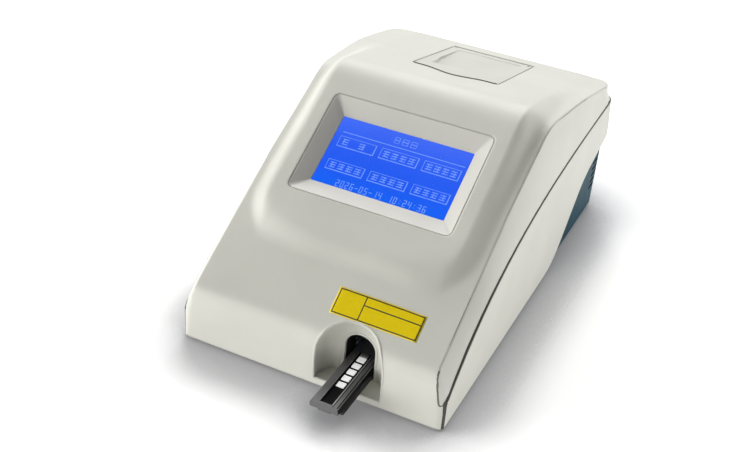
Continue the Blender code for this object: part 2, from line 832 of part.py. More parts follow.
def screen_posts():
    made = []
    top = WALL / 2
    bottom = lcd_board_top() - GAP
    for sx in (-1, 1):
        for sy in (-1, 1):
            x = sx * (LCD_BOARD_WIDTH / 2 - POST_INSET_X)
            y = sy * (LCD_BOARD_HEIGHT / 2 - POST_INSET_Y)
            post = rod("post", (x, y, -bottom), bottom - top, POST_R, "case", segments=SMALL_SEGMENTS)
            made.append(place(post, incline_frame()))
    return made


def lcd_board_top():
    return BEZEL_DEPTH + BEZEL_FOOT + GAP + TOUCH_THICK + GAP + LCD_THICK + GAP


def make_upper_shell():
    shell = case_volume("upper_shell", 0.0, 0.0)
    cut(shell, case_volume("inside", WALL, -CUT))

    far = CASE_DEPTH + CUT
    keep = [(at(-CUT), up(-CUT)), (at(SEAM_Y), up(-CUT))]
    keep += part_curve(PANEL_GAP / 2, SEAM_Y, far)
    keep += [(at(far), up(PAD_TOP_Z + CUT)), (at(-CUT), up(PAD_TOP_Z + CUT))]
    clip(shell, prism_x("keep", keep, -CASE_WIDTH, CASE_WIDTH, "case"))

    middle = case_volume("middle", WALL / 2, 0.0)
    niche_skin = loft("niche_skin", niche_rings(NICHE_SKIN, -CUT, NICHE_DEPTH + NICHE_SKIN,
                                                NICHE_FLOOR_Z - NICHE_SKIN), "case")
    for grown in [niche_skin] + bosses() + screen_posts():
        clip(grown, middle, keep=True)
        join(shell, grown)
    bpy.data.objects.remove(middle, do_unlink=True)

    # Tongues that run down inside the middle shell
    outer = HALF_WIDTH - MID_WALL - GAP
    end = rear_reach(PART_LEVEL) - REAR_CORNER_TOP
    strip = part_curve(-TONGUE_DROP, SEAM_Y + BASE_WALL, end)
    strip += list(reversed(part_curve(TONGUE_RISE, SEAM_Y + BASE_WALL, end)))
    for side in (-1, 1):
        ends = sorted((side * outer, side * (outer - TONGUE_THICK)))
        join(shell, prism_x("tongue", strip, ends[0], ends[1], "case"))

    cut(shell, loft("niche", niche_rings(0.0, -CUT, NICHE_DEPTH + NICHE_SKIN + CUT, NICHE_FLOOR_Z), "case"))

    hole = plate("hole", BEZEL_WIDTH / 2 + GAP, BEZEL_HEIGHT / 2 + GAP, -CUT, WALL * 2 + CUT, "case",
                 BEZEL_CORNER + GAP)
    cut(shell, place(hole, incline_frame()))
    cut(shell, lid_hole())

    for x, y, _ in corner_places():
        cut(shell, rod("pilot", (x, at(y), up(0)), BASE_FLOOR + SCREW_LENGTH + GAP, PILOT_R, "case",
                       segments=SMALL_SEGMENTS))
    return shell


def lid_outline(grow, rear):
    """The lid in plan, in its own tilted frame: its front edge bulges towards the user."""
    half = LID_WIDTH / 2 + grow
    corner = LID_CORNER
    front = -(LID_SLIT_FRONT if grow else 0.0)
    outline = [(half, rear), (-half, rear)]
    nip = corner * CORNER_SHARE
    outline += [(-half, front + corner), (-half + nip, front + nip), (-half + corner, front)]
    for k in range(BULGE_STEPS + 1):
        x = LID_BULGE_HALF * (2 * k / BULGE_STEPS - 1)
        lift = LID_BULGE * (1 + math.cos(math.pi * x / LID_BULGE_HALF)) / 2
        outline.append((x, front - lift))
    outline += [(half - corner, front), (half - nip, front + nip), (half, front + corner)]
    return outline


def lid_length():
    return LID_LENGTH_Y / math.cos(FALL)


def lid_hole():
    rear = lid_length() + RUN
    return place(prism_z("lid_hole", lid_outline(LID_SLIT, rear), -WALL - CUT, CUT, "case"), fall_frame())


def make_middle_shell():
    shell = case_volume("middle_shell", 0.0, 0.0)
    far = CASE_DEPTH + CUT
    start = SEAM_Y + GAP
    low = [(y, z) for y, z in skirt_curve(0.0) if y > at(start)]
    keep = [(at(start), up(SKIRT_LIFT))] + low + [(at(far), up(SKIRT_END_Z))]
    keep += list(reversed(part_curve(-PANEL_GAP / 2, start, far)))
    clip(shell, prism_x("keep", keep, -CASE_WIDTH, CASE_WIDTH, "case"))
    cut(shell, case_volume("inside", MID_WALL, -CUT))
    return shell


def base_outline(inset):
    """Plan of the base housing."""
    front = WALL + GAP + inset
    rear = CASE_DEPTH - BASE_REAR_SET - inset
    half_y = (rear - front) / 2
    outline = rounded_rectangle(BASE_HALF - inset, half_y, REAR_CORNER - inset)
    return [(x, y + at((front + rear) / 2)) for x, y in outline]


def make_base_housing():
    low = base_outline(BASE_EDGE)
    full = base_outline(0.0)
    top = SKIRT_END_Z - GAP * 2
    rings = [[(x, y, up(z)) for x, y in ring] for ring, z in ((low, 0), (full, BASE_EDGE), (full, top))]
    base = loft("base_housing", rings, "teal")
    inside = base_outline(BASE_WALL)
    cut(base, prism_z("inside", inside, up(BASE_FLOOR), up(top + CUT), "teal"))

    # Side walls follow the middle shell's lower edge, and stay behind it
    rise = [(at(-CUT), up(BASE_FRONT_HEIGHT))]
    rise += [(y, max(z, up(BASE_FRONT_HEIGHT))) for y, z in skirt_curve(BASE_OVERLAP) if z < up(top)]
    rise += [(rise[-1][0] + (up(top) - rise[-1][1]), up(top + CUT)), (at(-CUT), up(top + CUT))]
    cut(base, prism_x("above", rise, -CASE_WIDTH, CASE_WIDTH, "teal"))

    # The front wall is open where the niche comes through
    niche_half = MOUTH_HALF + NICHE_SKIN + GAP
    cut(base, block("way_in", (NICHE_X - niche_half, at(-CUT), up(BASE_FLOOR)),
                    (NICHE_X + niche_half, at(NICHE_DEPTH), up(BASE_FRONT_HEIGHT + CUT)), "teal"))

    for side in (-1, 1):
        for k in range(VENT_COUNT):
            z = VENT_Z + VENT_PITCH * k
            ends = sorted((side * (BASE_HALF + CUT), side * (BASE_HALF - BASE_WALL - CUT)))
            cut(base, block("vent", (ends[0], at(CASE_DEPTH - VENT_FROM_REAR - VENT_LENGTH), up(z)),
                            (ends[1], at(CASE_DEPTH - VENT_FROM_REAR), up(z + VENT_HEIGHT)), "teal"))
    for k in range(FLOOR_VENT_COUNT):
        x = POWER_X[0] + (POWER_X[1] - POWER_X[0]) / 2 + FLOOR_VENT_PITCH * (k - (FLOOR_VENT_COUNT - 1) / 2)
        cut(base, block("slot", (x - FLOOR_VENT_WIDTH / 2, at(FLOOR_VENT_Y), up(-CUT)),
                        (x + FLOOR_VENT_WIDTH / 2, at(FLOOR_VENT_Y + FLOOR_VENT_LENGTH),
                         up(BASE_FLOOR + CUT)),
                        "teal"))

    for side in (-1, 1):
        for y in (FOOT_FRONT_Y, FOOT_REAR_Y):
            cut(base, rod("recess", (side * FOOT_X, at(y), up(-CUT)), CUT + FOOT_RECESS,
                          FOOT_R + GAP, "teal"))
    for x, y, _ in corner_places():
        cut(base, rod("screw_hole", (x, at(y), up(-CUT)), CUT * 2 + BASE_FLOOR, PILOT_R, "teal",
                      segments=SMALL_SEGMENTS))
        cut(base, rod("screw_sink", (x, at(y), up(-CUT)), CUT + SCREW_HEAD + GAP,
                      SCREW_HEAD_R + GAP, "teal", segments=SMALL_SEGMENTS))
    for x, y in standoff_places():
        join(base, rod("standoff", (x, at(y), up(BASE_FLOOR - MERGE_BAND)),
                       BOARD_Z - GAP - BASE_FLOOR + MERGE_BAND,
                       STANDOFF_R, "teal", segments=SMALL_SEGMENTS))

    for x, z, wide, tall in connector_windows():
        cut(base, block("window", (x - wide / 2 - GAP, at(CASE_DEPTH - BASE_REAR_SET - BASE_WALL - CUT),
                                   up(z - tall / 2 - GAP)),
                        (x + wide / 2 + GAP, at(CASE_DEPTH + CUT), up(z + tall / 2 + GAP)), "teal"))
    return base


def connector_windows():
    return (
        (INLET_X, INLET_Z, INLET_WIDTH, INLET_HEIGHT),
        (SWITCH_X, INLET_Z, SWITCH_WIDTH, SWITCH_HEIGHT),
        (SERIAL_X, INLET_Z, SERIAL_NOSE_WIDTH + SERIAL_NOSE_HEIGHT / 2,
         SERIAL_NOSE_HEIGHT + SERIAL_NOSE_HEIGHT / 8),
        (USB_X, INLET_Z, USB_WIDTH, USB_HEIGHT),
    )


def make_feet():
    for side, word in ((-1, "left"), (1, "right")):
        for y, place_word in ((FOOT_FRONT_Y, "front"), (FOOT_REAR_Y, "rear")):
            low = [(FOOT_R - FOOT_RECESS / 2, 0), (FOOT_R, FOOT_RECESS / 2),
                   (FOOT_R, FOOT_DROP + FOOT_RECESS - GAP)]
            rings = [[(side * FOOT_X + a, at(y) + b, z) for a, b in circle(radius, ROUND_SEGMENTS)]
                     for radius, z in low]
            loft("foot_" + place_word + "_" + word, rings, "rubber")


def make_screws():
    for x, y, word in corner_places():
        steps = ((SCREW_HEAD_R, 0), (SCREW_HEAD_R, SCREW_HEAD), (SCREW_R, SCREW_HEAD),
                 (SCREW_R, SCREW_LENGTH))
        rings = [[(x + a, at(y) + b, up(z)) for a, b in circle(radius, SMALL_SEGMENTS)]
                 for radius, z in steps]
        loft("case_screw_" + word, rings, "steel")


# Screen
def make_screen():
    frame = incline_frame()
    foot = BEZEL_DEPTH + BEZEL_FOOT
    flange_top = WALL + GAP
    half_w, half_h = WINDOW_WIDTH / 2, WINDOW_HEIGHT / 2
    out_w, out_h = BEZEL_WIDTH / 2, BEZEL_HEIGHT / 2
    wide = (out_w + BEZEL_FLANGE, out_h + BEZEL_FLANGE)
    loops = [
        (half_w, half_h, WINDOW_CORNER, foot),
        (half_w, half_h, WINDOW_CORNER, BEZEL_DEPTH),
        (out_w - BEZEL_LIP, out_h - BEZEL_LIP, BEZEL_CORNER - BEZEL_LIP, GAP),
        (out_w - BEZEL_LIP / 3, out_h - BEZEL_LIP / 3, BEZEL_CORNER - BEZEL_LIP / 3, 0),
        (out_w, out_h, BEZEL_CORNER, GAP),
        (out_w, out_h, BEZEL_CORNER, flange_top),
        (wide[0], wide[1], BEZEL_CORNER + BEZEL_FLANGE, flange_top),
        (wide[0], wide[1], BEZEL_CORNER + BEZEL_FLANGE, foot),
    ]
    rings = [[(x, y, -depth) for x, y in rounded_rectangle(a, b, r)] for a, b, r, depth in loops]
    bm = bmesh.new()
    made = skin(bm, rings, close_ends=False)
    count = len(made[0])
    for i in range(count):
        j = (i + 1) % count
        bm.faces.new((made[-1][i], made[-1][j], made[0][j], made[0][i]))
    place(add_object("screen_bezel", bm, "case"), frame)

    touch_top = foot + GAP
    place(plate("touch_panel", TOUCH_WIDTH / 2, TOUCH_HEIGHT / 2, touch_top, TOUCH_THICK, "glass"), frame)
    lcd_top = touch_top + TOUCH_THICK + GAP
    lcd = plate("lcd_module", LCD_WIDTH / 2, LCD_HEIGHT / 2, lcd_top, LCD_THICK, "screen")
    view = plate("view", half_w + CUT / 2, half_h + CUT / 2, lcd_top - CUT, CUT + LCD_VIEW_STEP, "screen")
    place(cut(lcd, view), frame)
    place(plate("lcd_board", LCD_BOARD_WIDTH / 2, LCD_BOARD_HEIGHT / 2, lcd_board_top(), BOARD_THICK,
                "board"),
          frame)


# Strip tray and its drive
def tray_section(rounding):
    """Half of the tray's cross-section, from the bottom middle outwards and up."""
    flange_top = FLANGE_Z + FLANGE_THICK
    top = PLATE_Z + PLATE_THICK
    nip = rounding * CORNER_SHARE
    return [(FLANGE_HALF, FLANGE_Z), (FLANGE_HALF, flange_top), (WEB_HALF, flange_top),
            (WEB_HALF, PLATE_Z), (PLATE_HALF, PLATE_Z), (PLATE_HALF, top - rounding),
            (PLATE_HALF - nip, top - nip), (PLATE_HALF - rounding, top)]


def make_tray():
    half = tray_section(PLATE_ROUND)
    ring = half + [(-x, z) for x, z in reversed(half)]
    world = [(NICHE_X + x, up(z)) for x, z in ring]
    front, rear = at(-TRAY_REACH), at(TRAY_INSIDE)
    tray = prism_y("strip_tray", world, front, rear, "tray")
    top = PLATE_Z + PLATE_THICK

    # The flange and the web start behind the plate's nose
    cut(tray, block("setback", (NICHE_X - CASE_WIDTH, front - CUT, up(0)),
                    (NICHE_X + CASE_WIDTH, front + FLANGE_SETBACK, up(PLATE_Z)), "tray"))
    join(tray, block("nose", (NICHE_X - NOSE_HALF, front + PLATE_ROUND, up(PLATE_Z - NOSE_DROP)),
                     (NICHE_X + NOSE_HALF, front + FLANGE_SETBACK + NOSE_LENGTH,
                      up(PLATE_Z + PLATE_THICK / 2)),
                     "tray"))
    trough = block("trough", (NICHE_X - TROUGH_HALF, front + TROUGH_LIP, up(top - TROUGH_DEPTH)),
                   (NICHE_X + TROUGH_HALF, front + TROUGH_LIP + STRIP_LENGTH + GAP * 2, up(top + CUT)),
                   "tray")
    cut(tray, trough)

    floor = top - TROUGH_DEPTH + GAP
    start = front + TROUGH_LIP + GAP
    loaded = [make_rack()]
    loaded.append(block("test_strip", (NICHE_X - STRIP_HALF, start, up(floor)),
                        (NICHE_X + STRIP_HALF, start + STRIP_LENGTH, up(floor + STRIP_THICK)), "black"))
    pad_z = floor + STRIP_THICK + GAP
    for k in range(PAD_COUNT):
        y = front + TEST_PAD_FIRST + TEST_PAD_PITCH * k
        loaded.append(block("test_pad_" + str(k + 1), (NICHE_X - TEST_PAD_WIDTH / 2, y, up(pad_z)),
                            (NICHE_X + TEST_PAD_WIDTH / 2, y + TEST_PAD_LENGTH, up(pad_z + TEST_PAD_THICK)),
                            "white"))
    stop_y = start + STRIP_LENGTH - STOP_LENGTH
    loaded.append(block("strip_stop", (NICHE_X - TEST_PAD_WIDTH / 2, stop_y, up(pad_z)),
                        (NICHE_X + TEST_PAD_WIDTH / 2, stop_y + STOP_LENGTH, up(pad_z + STOP_RISE)), "grey"))
    set_origin(tray, (NICHE_X, front, up(PLATE_Z)))
    for item in loaded:
        carry(tray, item)


def involute(angle):
    return math.tan(angle) - angle


def gear_outline(teeth, module, slack):
    """A spur gear; its first tooth points along the first axis."""
    pitch_r = teeth * module / 2
    press = math.radians(PRESSURE_DEG)
    base_r = pitch_r * math.cos(press)
    root, tip = pitch_r - module * DEDENDUM, pitch_r + module * ADDENDUM

    def half_angle(radius):
        here = math.acos(min(base_r / radius, 1))
        return math.pi / (2 * teeth) + involute(press) - involute(here) - slack / radius

    out = []
    for k in range(teeth):
        middle = 2 * math.pi * k / teeth
        for radius, side in ((root, -1), (pitch_r, -1), (tip, -1), (tip, 1), (pitch_r, 1), (root, 1)):
            turn = middle + side * half_angle(radius)
            out.append((radius * math.cos(turn), radius * math.sin(turn)))
    return out


def pinion_x():
    return NICHE_X - RACK_PITCH_X - PINION_TEETH * MODULE / 2


def make_rack():
    root_x = RACK_PITCH_X - MODULE * DEDENDUM
    tip_x = RACK_PITCH_X + MODULE * ADDENDUM
    pitch = math.pi * MODULE
    lean = math.tan(math.radians(PRESSURE_DEG))
    foot = pitch / 4 + MODULE * DEDENDUM * lean - TOOTH_SLACK
    tip = pitch / 4 - MODULE * ADDENDUM * lean - TOOTH_SLACK
    # A gap of the rack faces the pinion's tooth at rest
    ahead = PINION_Y - pitch / 2 - RACK_START - foot
    middle = PINION_Y - pitch / 2 - math.floor(ahead / pitch) * pitch
    outline = [(NICHE_X - PLATE_HALF - GAP, at(RACK_START)), (NICHE_X - root_x, at(RACK_START))]
    while middle + foot < TRAY_INSIDE:
        outline += [(NICHE_X - root_x, at(middle - foot)), (NICHE_X - tip_x, at(middle - tip)),
                    (NICHE_X - tip_x, at(middle + tip)), (NICHE_X - root_x, at(middle + foot))]
        middle += pitch
    outline += [(NICHE_X - root_x, at(TRAY_INSIDE)), (NICHE_X - PLATE_HALF - GAP, at(TRAY_INSIDE))]
    return prism_z("tray_rack", outline, up(RACK_Z), up(RACK_Z + RACK_THICK), "gear")


def make_tray_drive():
    x, y = pinion_x(), at(PINION_Y)
    low, high = RACK_Z + PINION_LIFT, RACK_Z + RACK_THICK - PINION_LIFT
    teeth = [(x + a, y + b) for a, b in gear_outline(PINION_TEETH, MODULE, TOOTH_SLACK)]
    gear = prism_z("tray_pinion", teeth, up(low), up(high), "gear")
    cut(gear, rod("bore", (x, y, up(low - CUT)), high - low + CUT * 2, SHAFT_R + GAP, "gear",
                  segments=SMALL_SEGMENTS))
    set_origin(gear, (x, y, up(low)))

    plate_z = RACK_Z + RACK_THICK + MOTOR_LIFT
    motor_z = plate_z + PLATE_GAUGE + GAP
    shaft = rod("tray_motor_shaft", (x, y, up(low)), motor_z + RUN - low + GAP, SHAFT_R, "steel",
                segments=SMALL_SEGMENTS)
    set_origin(shaft, (x, y, up(low)))
    motor = rod("tray_motor", (x, y, up(motor_z)), MOTOR_HEIGHT, MOTOR_R, "steel")
    cut(motor, rod("bore", (x, y, up(motor_z - CUT)), CUT + RUN * 2 + GAP * 2, SHAFT_R + BORE_GAP, "steel",
                   segments=SMALL_SEGMENTS))

    tip_x = RACK_PITCH_X + MODULE * ADDENDUM
    left, right = x - LEG_REACH, NICHE_X - tip_x - RUN
    front, rear = y - LEG_REACH, y + LEG_REACH
    floor = up(BASE_FLOOR + GAP)
    bracket = block("motor_bracket", (left, front, up(plate_z)),
                    (x + MOTOR_R, rear, up(plate_z + PLATE_GAUGE)),
                    "steel")
    join(bracket, block("leg", (left, front, floor),
                        (left + PLATE_GAUGE, rear, up(plate_z + PLATE_GAUGE / 2)),
                        "steel"),
         block("leg", (left + PLATE_GAUGE / 2, rear - PLATE_GAUGE, floor),
               (right, rear, up(plate_z + PLATE_GAUGE / 2)), "steel"))
    cut(bracket, rod("hole", (x, y, up(plate_z - CUT)), PLATE_GAUGE + CUT * 2, SHAFT_R + RUN, "steel",
                     segments=SMALL_SEGMENTS))


def make_tray_guide():
    floor = BASE_FLOOR + GAP
    plate_top = floor + GUIDE_FLOOR
    inside = FLANGE_HALF + GAP
    lip_low = RAIL_TOP - RAIL_LIP_THICK
    half = [(inside + RAIL_THICK, floor), (inside + RAIL_THICK, RAIL_TOP), (inside - RAIL_LIP, RAIL_TOP),
            (inside - RAIL_LIP, lip_low), (inside, lip_low), (inside, plate_top)]
    ring = half + [(-x, z) for x, z in reversed(half)]
    start = SHROUD_START + SHROUD_LENGTH + GAP
    prism_y("tray_guide", [(NICHE_X + x, up(z)) for x, z in ring], at(start), at(GUIDE_END), "black")

    # A black arch between the niche and the optical head keeps daylight out
    def arch(grow, low):
        ring = [(NICHE_X + THROAT_HALF + grow, up(low)), (NICHE_X - THROAT_HALF - grow, up(low))]
        for k in range(ARCH_STEPS + 1):
            turn = math.pi * (1 - k / ARCH_STEPS)
            ring.append((NICHE_X + (THROAT_HALF + grow) * math.cos(turn),
                         up(NICHE_SPRING_Z + (THROAT_RISE + grow) * math.sin(turn))))
        return ring

    end = SHROUD_START + SHROUD_LENGTH
    shroud = prism_y("light_shroud", arch(GAP + SHROUD_WALL, floor), at(SHROUD_START), at(end), "black")
    cut(shroud, prism_y("inside", arch(GAP, NICHE_FLOOR_Z), at(SHROUD_START - CUT), at(end + CUT), "black"))


def make_optics():
    start, end = at(OPTIC_START), at(OPTIC_START + OPTIC_LENGTH)
    floor = up(BASE_FLOOR + GAP)
    plate_top = OPTIC_PLATE_Z + PLATE_GAUGE
    bracket = block("optics_bracket", (NICHE_X - OPTIC_LEG_X - PLATE_GAUGE, start, up(OPTIC_PLATE_Z)),
                    (NICHE_X + OPTIC_LEG_X + PLATE_GAUGE, end, up(plate_top)), "steel")
    for side in (-1, 1):
        ends = sorted((NICHE_X + side * OPTIC_LEG_X, NICHE_X + side * (OPTIC_LEG_X + PLATE_GAUGE)))
        join(bracket, block("leg", (ends[0], start, floor),
                            (ends[1], end, up(OPTIC_PLATE_Z + PLATE_GAUGE / 2)),
                            "steel"))
    middle = (start + end) / 2
    cut(bracket, rod("window", (NICHE_X, middle, up(OPTIC_PLATE_Z - CUT)), PLATE_GAUGE + CUT * 2,
                     LENS_R + RUN, "steel"))

    head_z = plate_top + GAP
    head = block("optical_head", (NICHE_X - OPTIC_HEAD_HALF, start, up(head_z)),
                 (NICHE_X + OPTIC_HEAD_HALF, end, up(head_z + OPTIC_HEAD_HEIGHT)), "black", PLATE_ROUND)
    cut(head, rod("bore", (NICHE_X, middle, up(head_z - CUT)), CUT + LENS_LENGTH, LENS_R + GAP, "black"))
    rod("optical_lens", (NICHE_X, middle, up(head_z - PLATE_GAUGE)), PLATE_GAUGE + LENS_LENGTH - GAP, LENS_R,
        "glass")
    board_z = head_z + OPTIC_HEAD_HEIGHT + GAP
    block("sensor_board", (NICHE_X - SENSOR_BOARD_HALF, start, up(board_z)),
          (NICHE_X + SENSOR_BOARD_HALF, end, up(board_z + BOARD_THICK)), "board")


# Boards in the base
def standoff_places():
    """Moulded posts under the corners of both boards."""
    return [(x, y)
            for xs, ys in ((MAIN_X, MAIN_Y), (POWER_X, POWER_Y))
            for x in (xs[0] + STANDOFF_INSET, xs[1] - STANDOFF_INSET)
            for y in (ys[0] + STANDOFF_INSET, ys[1] - STANDOFF_INSET)]


def make_boards():
    for name, xs, ys in (("main_board", MAIN_X, MAIN_Y), ("power_board", POWER_X, POWER_Y)):
        block(name, (xs[0], at(ys[0]), up(BOARD_Z)), (xs[1], at(ys[1]), up(BOARD_Z + BOARD_THICK)), "board")
    top = BOARD_Z + BOARD_THICK + GAP
    rod("buzzer", (MAIN_X[0] + BUZZER_R * 2, at(MAIN_Y[1] - BUZZER_R * 2), up(top)), BUZZER_HEIGHT, BUZZER_R,
        "black")
    mid_x, mid_y = sum(POWER_X) / 2, sum(POWER_Y) / 2
    block("transformer", (mid_x - TRANSFORMER[0] / 2, at(mid_y) - TRANSFORMER[1] / 2, up(top)),
          (mid_x + TRANSFORMER[0] / 2, at(mid_y) + TRANSFORMER[1] / 2, up(top + TRANSFORMER[2])), "brass",
          BOARD_THICK)


# Printer
def rim_depth():
    return WALL + GAP


def lid_axis():
    """World point on the lid's hinge axis, and its place in the lid's frame."""
    local = Vector((0, lid_length() - BARREL_R, -BARREL_R))
    return fall_frame() @ local, local


def make_lid():
    frame = fall_frame()
    length = lid_length()
    _, axis = lid_axis()
    half = LID_WIDTH / 2
    lid = prism_z("printer_lid", lid_outline(0.0, axis.y), -LID_THICK, 0, "case")
    knuckle = half - EAR_WIDTH - GAP * 2
    for side in (-1, 1):
        ends = sorted((side * knuckle, side * (half + CUT)))
        cut(lid, block("notch", (ends[0], axis.y - BARREL_R - RUN, -LID_THICK - CUT),
                       (ends[1], length + CUT, CUT),
                       "case"))
    join(lid, rod("barrel", (-knuckle, axis.y, axis.z), knuckle * 2, BARREL_R, "case", axis="x",
                  segments=SMALL_SEGMENTS * 2))

    # A pocket with a sloping floor and flared sides, in a skin that bulges below the lid
    start = POCKET_Y / math.cos(FALL)
    end = start + POCKET_LENGTH

    def wedge(name, grow, top):
        rings = []
        for along, flare, deep in zip(POCKET_ALONG_SHARES, POCKET_FLARES, POCKET_DEEP_SHARES):
            y = start - grow + (end - start + grow * 2) * along
            narrow, wide = POCKET_HALF - flare + grow, POCKET_HALF + grow
            bottom = -POCKET_DEPTH * deep - grow
            rings.append([(-wide, y, top), (wide, y, top), (narrow, y, bottom), (-narrow, y, bottom)])
        return loft(name, rings, "case")

    join(lid, wedge("skin", POCKET_SKIN, -LID_THICK / 2))
    cut(lid, wedge("pocket", 0.0, CUT))
    tab_y = LID_TAB_THICK + RUN * 2
    join(lid, block("tab", (-LID_TAB_HALF, tab_y, -LID_TAB_DROP - LID_THICK),
                    (LID_TAB_HALF, tab_y + LID_TAB_THICK, -LID_THICK / 2), "case"))
    cut(lid, rod("bore", (-half - CUT, axis.y, axis.z), LID_WIDTH + CUT * 2, LID_PIN_R + BORE_GAP, "case",
                 axis="x", segments=SMALL_SEGMENTS))
    place(lid, frame)
    set_origin(lid, lid_axis()[0])

    place(rod("lid_pin", (GAP - half, axis.y, axis.z), (half - GAP) * 2, LID_PIN_R, "steel", axis="x",
              segments=SMALL_SEGMENTS), frame)


def make_bucket():
    """The tub that holds the paper roll, hung from a flange round the lid's opening."""
    frame = fall_frame()
    _, axis = lid_axis()
    inverse = frame.inverted()
    rim = -rim_depth()
    inside_rear = lid_length() + RUN
    roll = inverse @ Vector((0, at(ROLL_Y), up(ROLL_Z)))
    tub_r = ROLL_R + ROLL_ROOM
    front = roll.y - tub_r

    def profile(grow, top):
        """Side view of the tub in the tilted frame: straight walls down to a round bottom."""
        left, right = front - grow, inside_rear + grow
        radius = tub_r + grow
        out = [(right, top), (left, top)]
        for k in range(TUB_STEPS + 1):
            turn = math.pi * (1 + k / TUB_STEPS)
            out.append((roll.y + radius * math.cos(turn), roll.z + radius * math.sin(turn)))
        return out

    half = BUCKET_INSIDE_HALF + BUCKET_WALL
    tub = prism_x("paper_bucket", profile(BUCKET_WALL, rim), -half, half, "black")
    flange_front = -LID_BULGE - BUCKET_FLANGE
    flange = block("flange", (-half - BUCKET_FLANGE / 2, flange_front, rim - FLANGE_GAUGE),
                   (half + BUCKET_FLANGE / 2, inside_rear + BUCKET_WALL + BUCKET_FLANGE / 2, rim), "black")
    join(tub, flange)
    cut(tub, prism_x("inside", profile(0.0, rim + CUT), -BUCKET_INSIDE_HALF, BUCKET_INSIDE_HALF, "black"))
    cut(tub, block("mouth", (-BUCKET_INSIDE_HALF, -LID_BULGE + BARREL_R / 3, rim - FLANGE_GAUGE - CUT),
                   (BUCKET_INSIDE_HALF, front + CUT, rim + CUT), "black"))

    # Ears at the rear corners carry the lid's pin
    ear = LID_WIDTH / 2
    for side in (-1, 1):
        ends = sorted((side * (ear - EAR_WIDTH), side * (BUCKET_INSIDE_HALF + BUCKET_WALL / 2)))
        web = block("web", (ends[0], axis.y - BARREL_R, rim - FLANGE_GAUGE),
                    (ends[1], axis.y + BARREL_R, rim),
                    "black")
        ends = sorted((side * (ear - EAR_WIDTH), side * ear))
        join(tub, web, rod("ear", (ends[0], axis.y, axis.z), EAR_WIDTH, BARREL_R, "black", axis="x",
                           segments=SMALL_SEGMENTS * 2))
    cut(tub, rod("pin_bore", (-half - CUT, axis.y, axis.z), (half + CUT) * 2, LID_PIN_R + BORE_GAP, "black",
                 axis="x", segments=SMALL_SEGMENTS))

    # Sockets for the spindle, open upwards so that it lifts out
    for side in (-1, 1):
        ends = sorted((side * (BUCKET_INSIDE_HALF - CUT), side * (BUCKET_INSIDE_HALF + SOCKET_DEPTH)))
        socket_r = SPINDLE_R + GAP
        slot = [(roll.y + socket_r, rim + CUT), (roll.y - socket_r, rim + CUT)]
        for k in range(SMALL_SEGMENTS + 1):
            turn = math.pi * (1 + k / SMALL_SEGMENTS)
            slot.append((roll.y + socket_r * math.cos(turn), roll.z + socket_r * math.sin(turn)))
        cut(tub, prism_x("slot", slot, ends[0], ends[1], "black"))
    place(tub, frame)

    # A shelf under the printer mechanism
    shelf_top = PRINTER_Z - GAP
    shelf_half = PRINTER_HALF + GAP + SHELF_GAUGE
    shelf_front = at(PRINTER_Y)
    shelf_rear = at(ROLL_Y - tub_r - BUCKET_WALL / 2)
    join(tub, block("shelf", (-shelf_half, shelf_front, up(shelf_top - SHELF_GAUGE)),
                    (shelf_half, shelf_rear, up(shelf_top)), "black"))


def make_paper():
    x = ROLL_WIDTH / 2
    roll = rod("paper_roll", (-x, at(ROLL_Y), up(ROLL_Z)), ROLL_WIDTH, ROLL_R, "paper", axis="x", segments=32)
    cut(roll, rod("bore", (-x - CUT, at(ROLL_Y), up(ROLL_Z)), ROLL_WIDTH + CUT * 2, ROLL_BORE_R, "paper",
                  axis="x"))
    set_origin(roll, (0, at(ROLL_Y), up(ROLL_Z)))
    reach = BUCKET_INSIDE_HALF + SOCKET_DEPTH - GAP
    rod("roll_spindle", (-reach, at(ROLL_Y), up(ROLL_Z)), reach * 2, SPINDLE_R, "grey", axis="x")


def gear_places():
    """Middles of the three printer gears, in the y-z plane, measured from the front and the underside."""
    first = (PLATEN_TEETH + IDLER_TEETH) * GEAR_MODULE / 2
    second = (IDLER_TEETH + MOTOR_TEETH) * GEAR_MODULE / 2
    a, b = math.radians(IDLER_BEARING_DEG), math.radians(MOTOR_BEARING_DEG)
    idler = (PLATEN_Y + first * math.cos(a), PLATEN_Z + first * math.sin(a))
    motor = (idler[0] + second * math.cos(b), idler[1] + second * math.sin(b))
    return (PLATEN_Y, PLATEN_Z), idler, motor


def printer_gear(name, teeth, middle, turn, bore_r, x):
    outline = gear_outline(teeth, GEAR_MODULE, GEAR_SLACK)
    c, s = math.cos(turn), math.sin(turn)
    world = [(at(middle[0]) + a * c - b * s, up(middle[1]) + a * s + b * c) for a, b in outline]
    gear = prism_x(name, world, x, x + GEAR_WIDTH, "gear")
    if bore_r:
        cut(gear, rod("bore", (x - CUT, at(middle[0]), up(middle[1])), GEAR_WIDTH + CUT * 2, bore_r, "gear",
                      axis="x", segments=SMALL_SEGMENTS))
    set_origin(gear, (x, at(middle[0]), up(middle[1])))
    return gear


